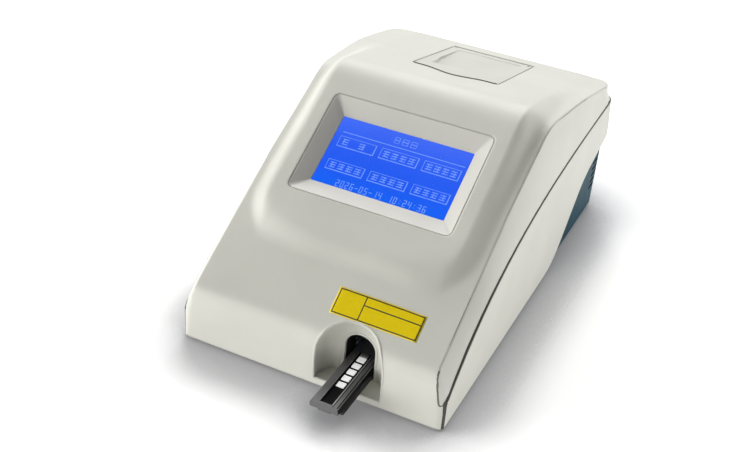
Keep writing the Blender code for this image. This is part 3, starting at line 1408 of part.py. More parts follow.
def make_printer():
    platen, idler, motor = gear_places()
    inner = PRINTER_HALF - PRINTER_PLATE
    y0, y1 = at(PRINTER_Y), at(PRINTER_Y + PRINTER_LENGTH)
    z0, z1 = up(PRINTER_Z), up(PRINTER_Z + PRINTER_HEIGHT)
    frame = block("printer_frame", (-PRINTER_HALF, y0, z0), (PRINTER_HALF, y1, z0 + PRINTER_PLATE), "steel")
    cheek = [(y0, z0), (y1, z0), (y1, z0 + PRINTER_HEIGHT * CHEEK_RISE_SHARE),
             (y1 - PRINTER_LENGTH * CHEEK_SLOPE_SHARE, z1), (y0, z1)]
    for side in (-1, 1):
        ends = sorted((side * inner, side * PRINTER_HALF))
        join(frame, prism_x("cheek", cheek, ends[0], ends[1], "steel"))
    for (y, z), radius in ((platen, PLATEN_SHAFT_R), (motor, STUB_R)):
        sides = (-1, 1) if radius == PLATEN_SHAFT_R else (1,)
        for side in sides:
            low_x = side * (inner + PRINTER_PLATE / 2) - PRINTER_PLATE / 2 - CUT
            cut(frame, rod("bearing", (low_x, at(y), up(z)), PRINTER_PLATE + CUT * 2, radius + BORE_GAP,
                           "steel",
                           axis="x", segments=SMALL_SEGMENTS))

    head_y = PLATEN_Y - PLATEN_R - GAP - HEAD_THICK
    head_z = PLATEN_Z - HEAD_HEIGHT * HEAD_BELOW_SHARE
    block("thermal_head", (-PLATEN_HALF, at(head_y), up(head_z)),
          (PLATEN_HALF, at(head_y + HEAD_THICK), up(head_z + HEAD_HEIGHT)), "steel")

    gear_x = PRINTER_HALF + GAP
    roller = rod("platen_roller", (-PLATEN_HALF, at(platen[0]), up(platen[1])), PLATEN_HALF * 2, PLATEN_R,
                 "rubber",
                 axis="x")
    cut(roller, rod("bore", (-PLATEN_HALF - CUT, at(platen[0]), up(platen[1])), (PLATEN_HALF + CUT) * 2,
                    PLATEN_SHAFT_R + GAP, "rubber", axis="x", segments=SMALL_SEGMENTS))
    set_origin(roller, (0, at(platen[0]), up(platen[1])))
    shaft = rod("platen_shaft", (-PRINTER_HALF - GAP, at(platen[0]), up(platen[1])),
                PRINTER_HALF + GAP * 3 + gear_x + GEAR_WIDTH, PLATEN_SHAFT_R, "steel", axis="x",
                segments=SMALL_SEGMENTS)
    set_origin(shaft, (0, at(platen[0]), up(platen[1])))

    printer_gear("platen_gear", PLATEN_TEETH, platen, math.radians(IDLER_BEARING_DEG),
                 PLATEN_SHAFT_R + GAP, gear_x)
    # The idler turns a gap towards the platen gear's tooth
    idler_turn = math.radians(IDLER_BEARING_DEG + 180) + math.pi / IDLER_TEETH
    printer_gear("idler_gear", IDLER_TEETH, idler, idler_turn, STUB_R + BORE_GAP, gear_x)
    to_motor = math.radians(MOTOR_BEARING_DEG)
    share = ((to_motor - idler_turn) / (2 * math.pi / IDLER_TEETH)) % 1
    motor_turn = to_motor + math.pi + (2 * share - 1) * math.pi / MOTOR_TEETH
    pinion = printer_gear("printer_pinion", MOTOR_TEETH, motor, motor_turn, 0, gear_x)
    join(pinion, rod("shaft", (inner - GAP - RUN * 2, at(motor[0]), up(motor[1])),
                     RUN * 2 + PRINTER_PLATE + GAP * 2 + MERGE_BAND, STUB_R, "gear", axis="x",
                     segments=SMALL_SEGMENTS))

    join(frame, rod("stub", (inner + PRINTER_PLATE / 2, at(idler[0]), up(idler[1])),
                    PRINTER_PLATE / 2 + GAP * 3 + GEAR_WIDTH, STUB_R, "steel", axis="x",
                    segments=SMALL_SEGMENTS))
    body = rod("printer_motor", (inner - GAP - PRINTER_MOTOR_LENGTH, at(motor[0]), up(motor[1])),
               PRINTER_MOTOR_LENGTH, PRINTER_MOTOR_R, "steel", axis="x")
    cut(body, rod("bore", (inner - GAP * 2 - RUN * 2, at(motor[0]), up(motor[1])), RUN * 2 + GAP + CUT,
                  STUB_R + BORE_GAP, "steel", axis="x", segments=SMALL_SEGMENTS))


# Rear connectors
def rear_face():
    return at(CASE_DEPTH - BASE_REAR_SET)


def make_inlet():
    face = rear_face()
    flange_half = INLET_WIDTH / 2 + INLET_FLANGE
    inlet = block("power_inlet", (INLET_X - flange_half, face + GAP,
                                  up(INLET_Z - INLET_HEIGHT / 2 - INLET_FLANGE / 2)),
                  (INLET_X + flange_half, face + GAP + INLET_LIP,
                   up(INLET_Z + INLET_HEIGHT / 2 + INLET_FLANGE / 2)),
                  "black")
    join(inlet, block("body", (INLET_X - INLET_WIDTH / 2, face - INLET_BODY, up(INLET_Z - INLET_HEIGHT / 2)),
                      (INLET_X + INLET_WIDTH / 2, face + GAP + INLET_LIP / 2, up(INLET_Z + INLET_HEIGHT / 2)),
                      "black"))
    w, h, c = SOCKET_WIDTH / 2, SOCKET_HEIGHT / 2, SOCKET_CHAMFER
    outline = [(-w, -h), (w, -h), (w, h - c), (w - c, h), (-w + c, h), (-w, h - c)]
    outline = [(INLET_X + x, up(INLET_Z + z)) for x, z in outline]
    mouth = face + GAP + INLET_LIP
    cut(inlet, prism_y("socket", outline, mouth - SOCKET_DEEP, mouth + CUT, "black"))
    start = mouth - SOCKET_DEEP + GAP
    for dx, dz, word in ((-BLADE_SPREAD, 0, "neutral"), (BLADE_SPREAD, 0, "line"), (0, EARTH_RISE, "earth")):
        x, z = INLET_X + dx, INLET_Z + dz
        block("inlet_blade_" + word, (x - BLADE_THICK / 2, start, up(z - BLADE_HEIGHT / 2)),
              (x + BLADE_THICK / 2, start + BLADE_LENGTH, up(z + BLADE_HEIGHT / 2)), "steel")


def make_switch():
    face = rear_face()
    half_w, half_h = SWITCH_WIDTH / 2, SWITCH_HEIGHT / 2
    flange = SWITCH_WALL
    frame = block("switch_frame", (SWITCH_X - half_w - flange, face + GAP, up(INLET_Z - half_h - flange)),
                  (SWITCH_X + half_w + flange, face + GAP + SWITCH_WALL, up(INLET_Z + half_h + flange)),
                  "black")
    join(frame, block("body", (SWITCH_X - half_w, face - SWITCH_DEEP, up(INLET_Z - half_h)),
                      (SWITCH_X + half_w, face + GAP + SWITCH_WALL / 2, up(INLET_Z + half_h)), "black"))
    open_w, open_h = half_w - SWITCH_WALL, half_h - SWITCH_WALL
    cut(frame, block("well", (SWITCH_X - open_w, face - SWITCH_DEEP + SWITCH_WALL, up(INLET_Z - open_h)),
                     (SWITCH_X + open_w, face + CUT * 2, up(INLET_Z + open_h)), "black"))

    # A rocker with two flats that meet in a shallow V, tilted so that its lower half is pressed
    pivot = (SWITCH_X, face - ROCKER_REACH, up(INLET_Z))
    tilt = math.tan(math.radians(ROCKER_TILT_DEG))
    tip = ROCKER_REACH + ROCKER_HALF * tilt
    back, deep = [-ROCKER_HALF * share for share in ROCKER_BACK_SHARES]
    wing = ROCKER_HALF * ROCKER_TIP_SHARE
    outline = [(ROCKER_REACH, 0), (tip, ROCKER_HALF), (back, wing), (deep, 0), (back, -wing),
               (tip, -ROCKER_HALF)]
    wide = open_w - RUN
    rocker = prism_x("power_rocker", outline, -wide, wide, "black")
    turn = Matrix.Translation(pivot) @ Matrix.Rotation(math.radians(-ROCKER_TILT_DEG), 4, "X")
    place(rocker, turn)
    set_origin(rocker, pivot)


def make_serial():
    face = rear_face()
    w, h = SERIAL_NOSE_WIDTH / 2, SERIAL_NOSE_HEIGHT / 2
    inside = face - BASE_WALL - GAP
    port = block("serial_port", (SERIAL_X - SERIAL_WIDTH / 2, inside - SERIAL_BODY,
                                 up(INLET_Z - SERIAL_HEIGHT / 2)),
                 (SERIAL_X + SERIAL_WIDTH / 2, inside, up(INLET_Z + SERIAL_HEIGHT / 2)), "steel")
    lean = h * SERIAL_LEAN_SHARE
    outline = [(-w + lean, -h), (w - lean, -h), (w, h - lean), (w - lean, h), (-w + lean, h), (-w, h - lean)]
    nose = prism_y("nose", [(SERIAL_X + x, up(INLET_Z + z)) for x, z in outline], inside - SERIAL_BODY / 2,
                   face + SERIAL_NOSE, "steel")
    join(port, nose)


def make_usb():
    face = rear_face()
    w, h = USB_WIDTH / 2, USB_HEIGHT / 2
    z = INLET_Z
    mouth = face + USB_SHELL
    shell = block("usb_port", (USB_X - w, mouth - USB_DEEP, up(z - h)), (USB_X + w, mouth, up(z + h)),
                  "steel")
    cut(shell, block("inside", (USB_X - w + USB_SHELL, mouth - USB_DEEP + USB_SHELL, up(z - h + USB_SHELL)),
                     (USB_X + w - USB_SHELL, mouth + CUT, up(z + h - USB_SHELL)), "steel"))
    join(shell, block("tongue", (USB_X - w + USB_SHELL * 3, mouth - USB_DEEP + USB_SHELL / 2,
                                 up(z - USB_TONGUE / 2)),
                      (USB_X + w - USB_SHELL * 3, mouth - USB_SHELL * 2, up(z + USB_TONGUE / 2)), "steel"))


def shade(item):
    item.data.shade_smooth()
    item.data.set_sharp_from_angle(angle=math.radians(SHARP_DEG))


def main():
    clear_scene()
    make_upper_shell()
    make_middle_shell()
    make_base_housing()
    make_feet()
    make_screws()
    make_screen()
    make_tray()
    make_tray_drive()
    make_tray_guide()
    make_optics()
    make_boards()
    make_bucket()
    make_lid()
    make_paper()
    make_printer()
    make_inlet()
    make_switch()
    make_serial()
    make_usb()
    for item in bpy.data.objects:
        shade(item)


main()
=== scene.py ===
# Looks of a desktop urine analyzer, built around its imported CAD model.
import json
import math

import bmesh
import bpy
from mathutils import Matrix, Vector
from mathutils.bvhtree import BVHTree

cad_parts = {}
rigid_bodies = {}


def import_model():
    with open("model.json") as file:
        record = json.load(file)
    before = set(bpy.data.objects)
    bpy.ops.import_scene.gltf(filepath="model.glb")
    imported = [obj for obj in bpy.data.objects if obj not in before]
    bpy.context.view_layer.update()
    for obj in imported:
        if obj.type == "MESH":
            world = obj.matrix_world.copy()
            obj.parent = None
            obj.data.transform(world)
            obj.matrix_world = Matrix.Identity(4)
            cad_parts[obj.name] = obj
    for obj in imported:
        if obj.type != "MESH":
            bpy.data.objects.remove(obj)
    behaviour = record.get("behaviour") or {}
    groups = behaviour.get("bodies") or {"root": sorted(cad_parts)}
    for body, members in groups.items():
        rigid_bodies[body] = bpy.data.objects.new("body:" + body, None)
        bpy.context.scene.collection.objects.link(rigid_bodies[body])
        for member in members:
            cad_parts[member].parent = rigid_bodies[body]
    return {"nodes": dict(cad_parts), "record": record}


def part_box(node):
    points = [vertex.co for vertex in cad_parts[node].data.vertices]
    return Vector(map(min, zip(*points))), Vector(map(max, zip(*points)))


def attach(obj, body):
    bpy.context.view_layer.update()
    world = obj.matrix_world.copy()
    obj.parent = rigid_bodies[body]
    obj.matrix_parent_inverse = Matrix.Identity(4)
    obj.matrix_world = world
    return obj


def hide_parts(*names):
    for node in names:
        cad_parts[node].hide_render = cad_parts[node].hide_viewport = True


for leftover in list(bpy.data.objects):
    bpy.data.objects.remove(leftover)
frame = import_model()
bpy.context.view_layer.update()

MM = 0.001
WHITE = (1, 1, 1, 1)

# The photograph's camera: direction, roll, distance and the offset of its middle in pixels
IMAGE_WIDTH = 750
FILM_WIDTH = 36
FOCUS_PIXELS = 1176.04
AZIMUTH, ELEVATION, ROLL = math.radians(22.79), math.radians(31.78), math.radians(5.34)
DISTANCE = 0.81129
OFFSET_X, OFFSET_Y = 41.59, -34.72
TARGET = Vector((0, 6.5 * MM, 62 * MM))

# Screen window in the bezel, across and up the slope
WINDOW_WIDTH = 93.2 * MM
WINDOW_HEIGHT = 51.8 * MM

# The yellow plate's place: across, and up the slope from the casing's front
LABEL_X = (5.6 * MM, 63.0 * MM)
LABEL_T = (15.0 * MM, 32.4 * MM)
LABEL_THICK = 0.12 * MM

BODY_OF = {node: body for body, nodes in frame["record"]["behaviour"]["bodies"].items()
           for node in nodes}


def srgb(red, green, blue):
    """A colour as it looks on screen, from 0 to 255, in the linear values that a shader takes."""
    def linear(level):
        share = level / 255
        return share / 12.92 if share <= 0.04045 else ((share + 0.055) / 1.055) ** 2.4
    return (linear(red), linear(green), linear(blue), 1)


# Materials
class Nodes:
    """A material's node tree, with short calls for the nodes that the finishes share."""

    def __init__(self, name):
        self.material = bpy.data.materials.new(name)
        self.material.use_nodes = True
        self.tree = self.material.node_tree
        self.shader = self.tree.nodes["Principled BSDF"]
        self.place = self.add("ShaderNodeTexCoord").outputs["Object"]

    def add(self, kind, **values):
        node = self.tree.nodes.new(kind)
        for key, value in values.items():
            if hasattr(node, key):
                setattr(node, key, value)
            else:
                node.inputs[key.replace("_", " ")].default_value = value
        return node

    def link(self, output, target):
        self.tree.links.new(output, target)

    def noise(self, scale, detail=2.0, rough=0.5):
        node = self.add("ShaderNodeTexNoise", Scale=scale, Detail=detail, Roughness=rough)
        self.link(self.place, node.inputs["Vector"])
        return node.outputs["Fac"]

    def stretched(self, sizes):
        """The object's coordinates, each divided by a size, for patterns that differ by direction."""
        node = self.add("ShaderNodeMapping")
        node.inputs["Scale"].default_value = sizes
        self.link(self.place, node.inputs["Vector"])
        return node.outputs["Vector"]

    def ramp(self, source, *stops):
        node = self.add("ShaderNodeValToRGB")
        while len(node.color_ramp.elements) < len(stops):
            node.color_ramp.elements.new(0.5)
        for element, (place, colour) in zip(node.color_ramp.elements, stops):
            element.position = place
            element.color = colour
        self.link(source, node.inputs["Fac"])
        return node.outputs["Color"]

    def span(self, source, low, high):
        node = self.add("ShaderNodeMapRange")
        node.inputs["To Min"].default_value = low
        node.inputs["To Max"].default_value = high
        self.link(source, node.inputs["Value"])
        return node.outputs["Result"]

    def bump(self, source, depth, after=None):
        node = self.add("ShaderNodeBump", Strength=1.0, Distance=depth)
        self.link(source, node.inputs["Height"])
        if after:
            self.link(after, node.inputs["Normal"])
        self.link(node.outputs["Normal"], self.shader.inputs["Normal"])
        return node.outputs["Normal"]

    def colour(self, output):
        self.link(output, self.shader.inputs["Base Color"])

    def rough(self, output):
        self.link(output, self.shader.inputs["Roughness"])

    def give(self, **values):
        """Sets the shader's own sockets, each named with an underline for a space."""
        for key, value in values.items():
            self.shader.inputs[key.replace("_", " ")].default_value = value


def shade(colour, share):
    """A colour with its three levels multiplied by a share."""
    return tuple(level * share for level in colour[:3]) + (1,)


def moulded(name, colour, rough, grain=1600, depth=0.02 * MM, cloud=0.03, sheen=0.5, edge=0):
    """Moulded plastic: fine spark-eroded grain, slight clouds of tone, uneven gloss, edges rounded off."""
    n = Nodes(name)
    clouds = n.noise(24, 3)
    n.colour(n.ramp(clouds, (0.3, shade(colour, 1 - cloud)), (0.7, shade(colour, 1 + cloud))))
    n.rough(n.span(n.noise(60, 3), rough - 0.05, rough + 0.05))
    rounded = n.add("ShaderNodeBevel", Radius=edge, samples=6).outputs["Normal"] if edge else None
    n.bump(n.noise(grain, 3, 0.6), depth, rounded)
    n.give(Specular_IOR_Level=sheen)
    return n.material


def metal(name, colour, rough, brush=(40, 900, 900), depth=0.01 * MM):
    """Drawn or rolled metal with fine lines along one direction."""
    n = Nodes(name)
    lines = n.add("ShaderNodeTexNoise", Scale=1.0, Detail=3.0)
    n.link(n.stretched(brush), lines.inputs["Vector"])
    n.colour(n.ramp(lines.outputs["Fac"], (0.3, shade(colour, 0.88)), (0.7, shade(colour, 1.05))))
    n.rough(n.span(lines.outputs["Fac"], rough - 0.08, rough + 0.1))
    n.bump(lines.outputs["Fac"], depth)
    n.give(Metallic=1)
    return n.material


def make_teal():
    """Smoky blue-green plastic, cloudy inside and glossy outside."""
    n = Nodes("smoky_teal")
    deep, light = srgb(4, 42, 54), srgb(12, 64, 78)
    n.colour(n.ramp(n.noise(22, 3, 0.5), (0.25, deep), (0.75, light)))
    n.rough(n.span(n.noise(90, 2), 0.4, 0.55))
    n.bump(n.noise(700, 2), 0.02 * MM)
    n.give(Subsurface_Weight=0.12, Subsurface_Radius=(0.3, 1, 1), Subsurface_Scale=2 * MM,
           Specular_IOR_Level=0.1)
    return n.material


def make_lcd():
    """Backlit blue display, with an uneven backlight."""
    n = Nodes("lcd_blue")
    split = n.add("ShaderNodeSeparateXYZ")
    n.link(n.place, split.inputs["Vector"])
    low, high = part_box("lcd_module")
    upward = n.add("ShaderNodeMapRange")
    upward.inputs["From Min"].default_value = low.z
    upward.inputs["From Max"].default_value = high.z
    n.link(split.outputs["Z"], upward.inputs["Value"])
    blue = n.ramp(upward.outputs["Result"], (0.1, srgb(10, 108, 252)), (0.4, srgb(36, 96, 246)),
                  (0.65, srgb(48, 98, 246)), (0.9, srgb(70, 112, 250)))
    glow = n.ramp(n.noise(26, 2), (0.3, (0.92, 0.92, 0.96, 1)), (0.7, WHITE))
    mixed = n.add("ShaderNodeMix", data_type="RGBA", blend_type="MULTIPLY")
    mixed.inputs["Factor"].default_value = 1
    n.link(blue, mixed.inputs["A"])
    n.link(glow, mixed.inputs["B"])
    n.link(mixed.outputs["Result"], n.shader.inputs["Emission Color"])
    n.give(Emission_Strength=1, Base_Color=srgb(2, 6, 24), Specular_IOR_Level=0)
    n.rough(n.span(n.noise(400), 0.55, 0.65))
    return n.material


def make_glow():
    """The display's light marks."""
    n = Nodes("lcd_marks")
    n.link(n.ramp(n.noise(300), (0.3, srgb(104, 146, 255)), (0.7, srgb(126, 164, 255))),
           n.shader.inputs["Emission Color"])
    n.give(Emission_Strength=1, Base_Color=srgb(2, 6, 24), Specular_IOR_Level=0)
    return n.material


def make_glass(name, tint, rough, index):
    """Clear plastic or glass with a tint and a refractive index."""
    n = Nodes(name)
    n.colour(n.ramp(n.noise(30), (0.3, shade(tint, 0.98)), (0.7, tint)))
    n.rough(n.span(n.noise(500, 2), max(rough - 0.01, 0), rough + 0.01))
    n.give(Transmission_Weight=1, IOR=index)
    return n.material


def make_label(name, colour, dark):
    """Printed foil: even colour with faint print mottle and a soft lacquer."""
    n = Nodes(name)
    n.colour(n.ramp(n.noise(500, 3), (0.3, dark), (0.62, colour)))
    n.rough(n.span(n.noise(220), 0.34, 0.46))
    n.bump(n.noise(900), 0.008 * MM)
    n.give(Specular_IOR_Level=0.2)
    return n.material


def make_board():
    """Solder mask over copper tracks."""
    n = Nodes("circuit_board")
    tracks = n.add("ShaderNodeTexBrick", offset=0.5, Scale=1.0, Mortar_Size=0.25 * MM, Brick_Width=7 * MM,
                   Row_Height=2.2 * MM)
    n.link(n.place, tracks.inputs["Vector"])
    n.colour(n.ramp(tracks.outputs["Fac"], (0.2, srgb(16, 84, 44)), (0.8, srgb(52, 128, 72))))
    n.rough(n.span(n.noise(80), 0.25, 0.4))
    n.bump(tracks.outputs["Fac"], 0.03 * MM)
    return n.material


def make_paper():
    """Thermal paper: wound layers show as fine rings on its ends."""
    n = Nodes("thermal_paper")
    n.colour(n.ramp(n.noise(260, 3), (0.3, srgb(228, 228, 222)), (0.7, srgb(240, 240, 236))))
    n.rough(n.span(n.noise(300), 0.55, 0.75))
    rings = n.add("ShaderNodeTexWave", wave_type="RINGS", rings_direction="X", Scale=420.0, Distortion=0.6)
    low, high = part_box("paper_roll")
    shift = n.add("ShaderNodeMapping", vector_type="POINT")
    shift.inputs["Location"].default_value = -(low + high) / 2
    n.link(n.place, shift.inputs["Vector"])
    n.link(shift.outputs["Vector"], rings.inputs["Vector"])
    n.bump(rings.outputs["Fac"], 0.03 * MM)
    return n.material


def make_copper():
    """Layers of lacquered copper wire."""
    n = Nodes("copper_winding")
    wave = n.add("ShaderNodeTexWave", bands_direction="Z", Scale=520.0, Distortion=0.4)
    n.link(n.place, wave.inputs["Vector"])
    n.colour(n.ramp(wave.outputs["Fac"], (0.2, srgb(104, 52, 26)), (0.8, srgb(196, 112, 62))))
    n.bump(wave.outputs["Fac"], 0.2 * MM)
    n.rough(n.span(n.noise(200), 0.3, 0.45))
    n.give(Metallic=0.7)
    return n.material


def make_pad_with_painted_glow():
    """Reagent pad: soft fibrous paper with a faint print on it, glowing as painted light so that it stays
    white in shade.
    """
    n = Nodes("reagent_pad_painted_glow")
    n.colour(n.ramp(n.noise(900, 4, 0.7), (0.25, srgb(238, 238, 235)), (0.5, srgb(253, 253, 251))))
    n.bump(n.noise(2600, 4, 0.7), 0.02 * MM)
    n.rough(n.span(n.noise(500), 0.8, 0.95))
    # Painted light: the pad glows so that it reads bright white where it lies in the groove's shade
    n.give(Emission_Color=WHITE, Emission_Strength=0.42)
    return n.material


CASING = srgb(219, 219, 209)
FINISH = {
    "casing": moulded("casing_plastic", CASING, 0.44, sheen=0.42, edge=2.4 * MM),
    "casing_lower": moulded("casing_lower_plastic", shade(CASING, 0.98), 0.44, sheen=0.42),
    "bezel_plastic": moulded("bezel_plastic", srgb(214, 212, 203), 0.36, grain=2200, depth=0.01 * MM),
    "base_plastic": make_teal(),
    "black_plastic": moulded("black_plastic", srgb(30, 30, 31), 0.45, grain=1200, cloud=0.12),
    "tray_plastic": moulded("tray_plastic", srgb(98, 98, 98), 0.5, 1300, 0.05 * MM, cloud=0.12),
    "grey_plastic": moulded("grey_plastic", srgb(146, 148, 148), 0.45, cloud=0.06),
    "gear_plastic": moulded("gear_nylon", srgb(226, 222, 204), 0.42, cloud=0.04),
    "foot_rubber": moulded("foot_rubber", srgb(34, 34, 34), 0.8, 500, 0.08 * MM, cloud=0.2, sheen=0.25),
    "platen_rubber": moulded("platen_rubber", srgb(28, 28, 30), 0.7, 900, 0.04 * MM, cloud=0.15),
    "steel": metal("drawn_steel", srgb(184, 186, 190), 0.3),
    "screen_glass": make_glass("touch_film", srgb(248, 250, 253), 0, 1.03),
    "lens_glass": make_glass("lens_glass", srgb(220, 235, 240), 0.01, 1.45),
    "lcd": make_lcd(),
    "circuit_board": make_board(),
    "paper": make_paper(),
    "copper_winding": make_copper(),
    "test_pad": make_pad_with_painted_glow(),
    "strip_backing": moulded("strip_backing", srgb(18, 18, 19), 0.8, cloud=0.1, sheen=0.1),
}
BRASS = metal("brass", srgb(204, 170, 96), 0.3)
BRIGHT = metal("nickel", srgb(214, 214, 212), 0.22)
MARKS = make_glow()
LABEL_YELLOW = make_label("label_yellow", srgb(246, 219, 16), srgb(241, 213, 12))
LABEL_INK = make_label("label_ink", srgb(54, 46, 14), srgb(34, 30, 10))
LID = moulded("lid_plastic", shade(CASING, 0.9), 0.44, sheen=0.42, edge=0.8 * MM)
WHITE_INK = moulded("white_ink", srgb(226, 226, 224), 0.5, cloud=0.02)
SEAM = moulded("seam_shadow", srgb(80, 79, 72), 0.7, cloud=0.1, sheen=0.2)
# Painted shade: the dark colour of the beads along the side walls' fold; the lid's side gaps use it too
CREASE = moulded("crease_shadow", srgb(122, 121, 112), 0.7, cloud=0.1, sheen=0.2)
# Painted highlight: a lighter grey than the tray, for the lit edge of the ribs
RIB_PAINTED_HIGHLIGHT = moulded("tray_rib_painted_highlight", srgb(158, 158, 158), 0.4, cloud=0.08)
# Black for the strip's groove, and painted shade for the tray's sides and the dark strips beside the groove
BLACK_AND_PAINTED_SHADE = moulded("trough_black_and_painted_shade", srgb(12, 12, 13), 0.85, cloud=0.1, sheen=0.1)


# Pieces
SMOOTH_ANGLE, LINE_SMOOTH_ANGLE = 32, 60
ROUNDED_ANGLE = 38
FLAT_ANGLE = 0.4

EDGE_RADIUS = 0.2 * MM
EDGE_RADII = {
    "upper_shell": 0, "middle_shell": 0, "base_housing": 0, "screen_bezel": 0.35 * MM,
    "printer_lid": 0.3 * MM, "strip_tray": 0.3 * MM, "test_strip": 0, "touch_panel": 0, "lcd_module": 0,
    "tray_rack": 0, "tray_pinion": 0.1 * MM, "platen_gear": 0.08 * MM, "idler_gear": 0.08 * MM,
    "printer_pinion": 0.05 * MM, "lid_pin": 0.15 * MM, "optical_lens": 0.1 * MM,
}
OWN_FINISHES = {"printer_lid": LID}


def finished(name, bm, finish, body, smooth_deg=SMOOTH_ANGLE):
    """Turns bmesh work into a piece on a body, smooth but for its sharp edges."""
    mesh = bpy.data.meshes.new(name)
    for face in bm.faces:
        face.smooth = True
    limit = math.radians(smooth_deg)
    for edge in bm.edges:
        edge.smooth = len(edge.link_faces) == 2 and edge.calc_face_angle(0) < limit
    bm.to_mesh(mesh)
    bm.free()
    mesh.materials.append(finish)
    piece = bpy.data.objects.new(name, mesh)
    bpy.context.scene.collection.objects.link(piece)
    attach(piece, body)
    return piece


def evened(piece):
    """Large faces set the shading, so that a narrow rounding doesn't tint the flat beside it."""
    modifier = piece.modifiers.new("even_shading", "WEIGHTED_NORMAL")
    modifier.keep_sharp = True
    modifier.weight = 50
    return piece


def welded(node, flatten=False):
    """A CAD node's mesh in one piece, with its flat faces whole again if that is asked for."""
    bm = bmesh.new()
    bm.from_mesh(frame["nodes"][node].data)
    bmesh.ops.remove_doubles(bm, verts=bm.verts[:], dist=0.002 * MM)
    if flatten:
        bmesh.ops.dissolve_limit(bm, angle_limit=math.radians(FLAT_ANGLE), verts=bm.verts[:],
                                 edges=bm.edges[:])
    bm.normal_update()
    return bm


def soften(bm, radius):
    """Rounds the sharp edges that are long enough for the radius."""
    limit = math.radians(ROUNDED_ANGLE)
    sharp = [e for e in bm.edges if len(e.link_faces) == 2 and e.calc_face_angle(0) > limit]
    if sharp:
        bmesh.ops.bevel(bm, geom=sharp, offset=radius, segments=2, profile=0.5, affect="EDGES",
                        clamp_overlap=True)
    bmesh.ops.dissolve_degenerate(bm, edges=bm.edges[:], dist=0.001 * MM)


def dress(node):
    """Replaces a CAD node by its own form with rounded edges and smooth curves."""
    radius = EDGE_RADII.get(node, EDGE_RADIUS)
    bm = welded(node, flatten=radius > 0)
    if radius:
        soften(bm, radius)
    slot = frame["nodes"][node].data.materials[0].name
    finish = OWN_FINISHES.get(node, FINISH[slot])
    piece = finished(node + "_dressed", bm, finish, BODY_OF[node])
    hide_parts(node)
    return evened(piece)


dressed = {node: dress(node) for node in sorted(frame["nodes"])}

# The strip's groove reaches this far past the strip, and its walls start this far under the tray's top
GROOVE_SIDE, GROOVE_FRONT, GROOVE_TOP = 1 * MM, 1.5 * MM, 0.15 * MM
# Nearest corner of the paper bucket's ear tops, the same on both sides
EAR_CORNER = (28 * MM, 131.6 * MM, 112.5 * MM)


def blacken_trough():
    """The groove that the strip lies in is coloured black, and the tray's sides get the same black as
    painted shade.
    """
    mesh = dressed["strip_tray"].data
    mesh.materials.append(BLACK_AND_PAINTED_SHADE)
    strip_low, strip_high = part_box("test_strip")
    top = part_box("strip_tray")[1].z
    for polygon in mesh.polygons:
        middle, normal = polygon.center, polygon.normal
        inside = strip_low.x - GROOVE_SIDE < middle.x < strip_high.x + GROOVE_SIDE
        below = middle.z < top - GROOVE_TOP and middle.y > strip_low.y - GROOVE_FRONT
        groove = inside and below and normal.z > -0.1
        # Painted shade: the tray's side walls are coloured black for the shade of the recess along them
        painted_shade_flank = abs(normal.x) > 0.6 and not inside
        if groove or painted_shade_flank:
            polygon.material_index = 1


def colour_hinge_ears():
    """The tops of the ears that hold the lid's pin lie in the casing's surface and have its colour."""
    mesh = dressed["paper_bucket"].data
    mesh.materials.append(FINISH["casing"])
    for polygon in mesh.polygons:
        x, y, z = polygon.center
        if abs(x) > EAR_CORNER[0] and y > EAR_CORNER[1] and z > EAR_CORNER[2]:
            polygon.material_index = 1


blacken_trough()
colour_hinge_ears()


def tree_of(node):
    """A search tree over a CAD node's faces."""
    bm = bmesh.new()
    bm.from_mesh(frame["nodes"][node].data)
    tree = BVHTree.FromBMesh(bm)
    bm.free()
    return tree


shell_tree = tree_of("upper_shell")


# Lines and lips along the casing's edges. A bead has the radii of its first and last ends and the share
# that it is sunk by. The left side's are finer, because the photograph shows no lines there.
SIDES = ((-1, "left"), (1, "right"))
CLIMB = Vector((0, 0.7, 0.7))
UPWARD = Vector((0, 0, 1))
LINE_SIDES, LIP_SIDES = 8, 12

SEAM_START = (90 * MM, -143 * MM, 2 * MM)
SEAM_GAP = 1.0 * MM
SEAM_ANGLE, SEAM_OUTWARD = 50, 0.4
SEAM_TOP, SEAM_SIDE_X, SEAM_REAR_Y = 104 * MM, 60 * MM, 150 * MM
SEAM_CENTRE = Vector((0, 0.01, 0))
SEAM_BEADS = {-1: ((0.9 * MM, 0.75 * MM), 0.88), 1: ((1.45 * MM, 0.75 * MM), 0.8)}

CREASE_FRONT = (82.5 * MM, -144 * MM, 40 * MM)
CREASE_INNER_X, CREASE_LOWEST, CREASE_ANGLE = 80 * MM, 38 * MM, 44
CREASE_DROP = 0.5 * MM
CREASE_GAP = 1.0 * MM
CREASE_BEADS = {-1: ((0.5 * MM, 0.42 * MM), 0.95), 1: ((1.05 * MM, 0.42 * MM), 0.74)}
# The crease's corner, from the seam to a low point on the front face and up to the crease
CORNER_SEAM = (89.8 * MM, -143.2 * MM, 21.5 * MM)
CORNER_LOW_X, CORNER_LOW_Z = 86.2 * MM, 18.6 * MM
CORNER_STEPS = (8, 12)
CORNER_ROUNDS = 3
CORNER_REAR_Y = -141 * MM

NICHE_MIDDLE = 26.5 * MM
NICHE_SPRING = 26 * MM
MOUTH_START = (-22.5 * MM, -146 * MM, 5 * MM)
MOUTH_HALF, MOUTH_REAR_Y, MOUTH_LOWEST, MOUTH_ANGLE = 25 * MM, -124 * MM, 3 * MM, 24
MOUTH_GAP = 0.9 * MM
MOUTH_BEAD = ((1.0 * MM, 1.0 * MM), 0.84)
THROAT_START = (-10.2 * MM, -129.2 * MM, 6.5 * MM)
THROAT_HALF, THROAT_FACE, THROAT_LOWEST, THROAT_ANGLE = 10.6 * MM, (-129.4 * MM, -129 * MM), 6.6 * MM, 70
THROAT_GAP = 0.8 * MM
THROAT_OFFSET = 0.9 * MM
THROAT_BEAD = ((1.1 * MM, 1.1 * MM), 0.3)

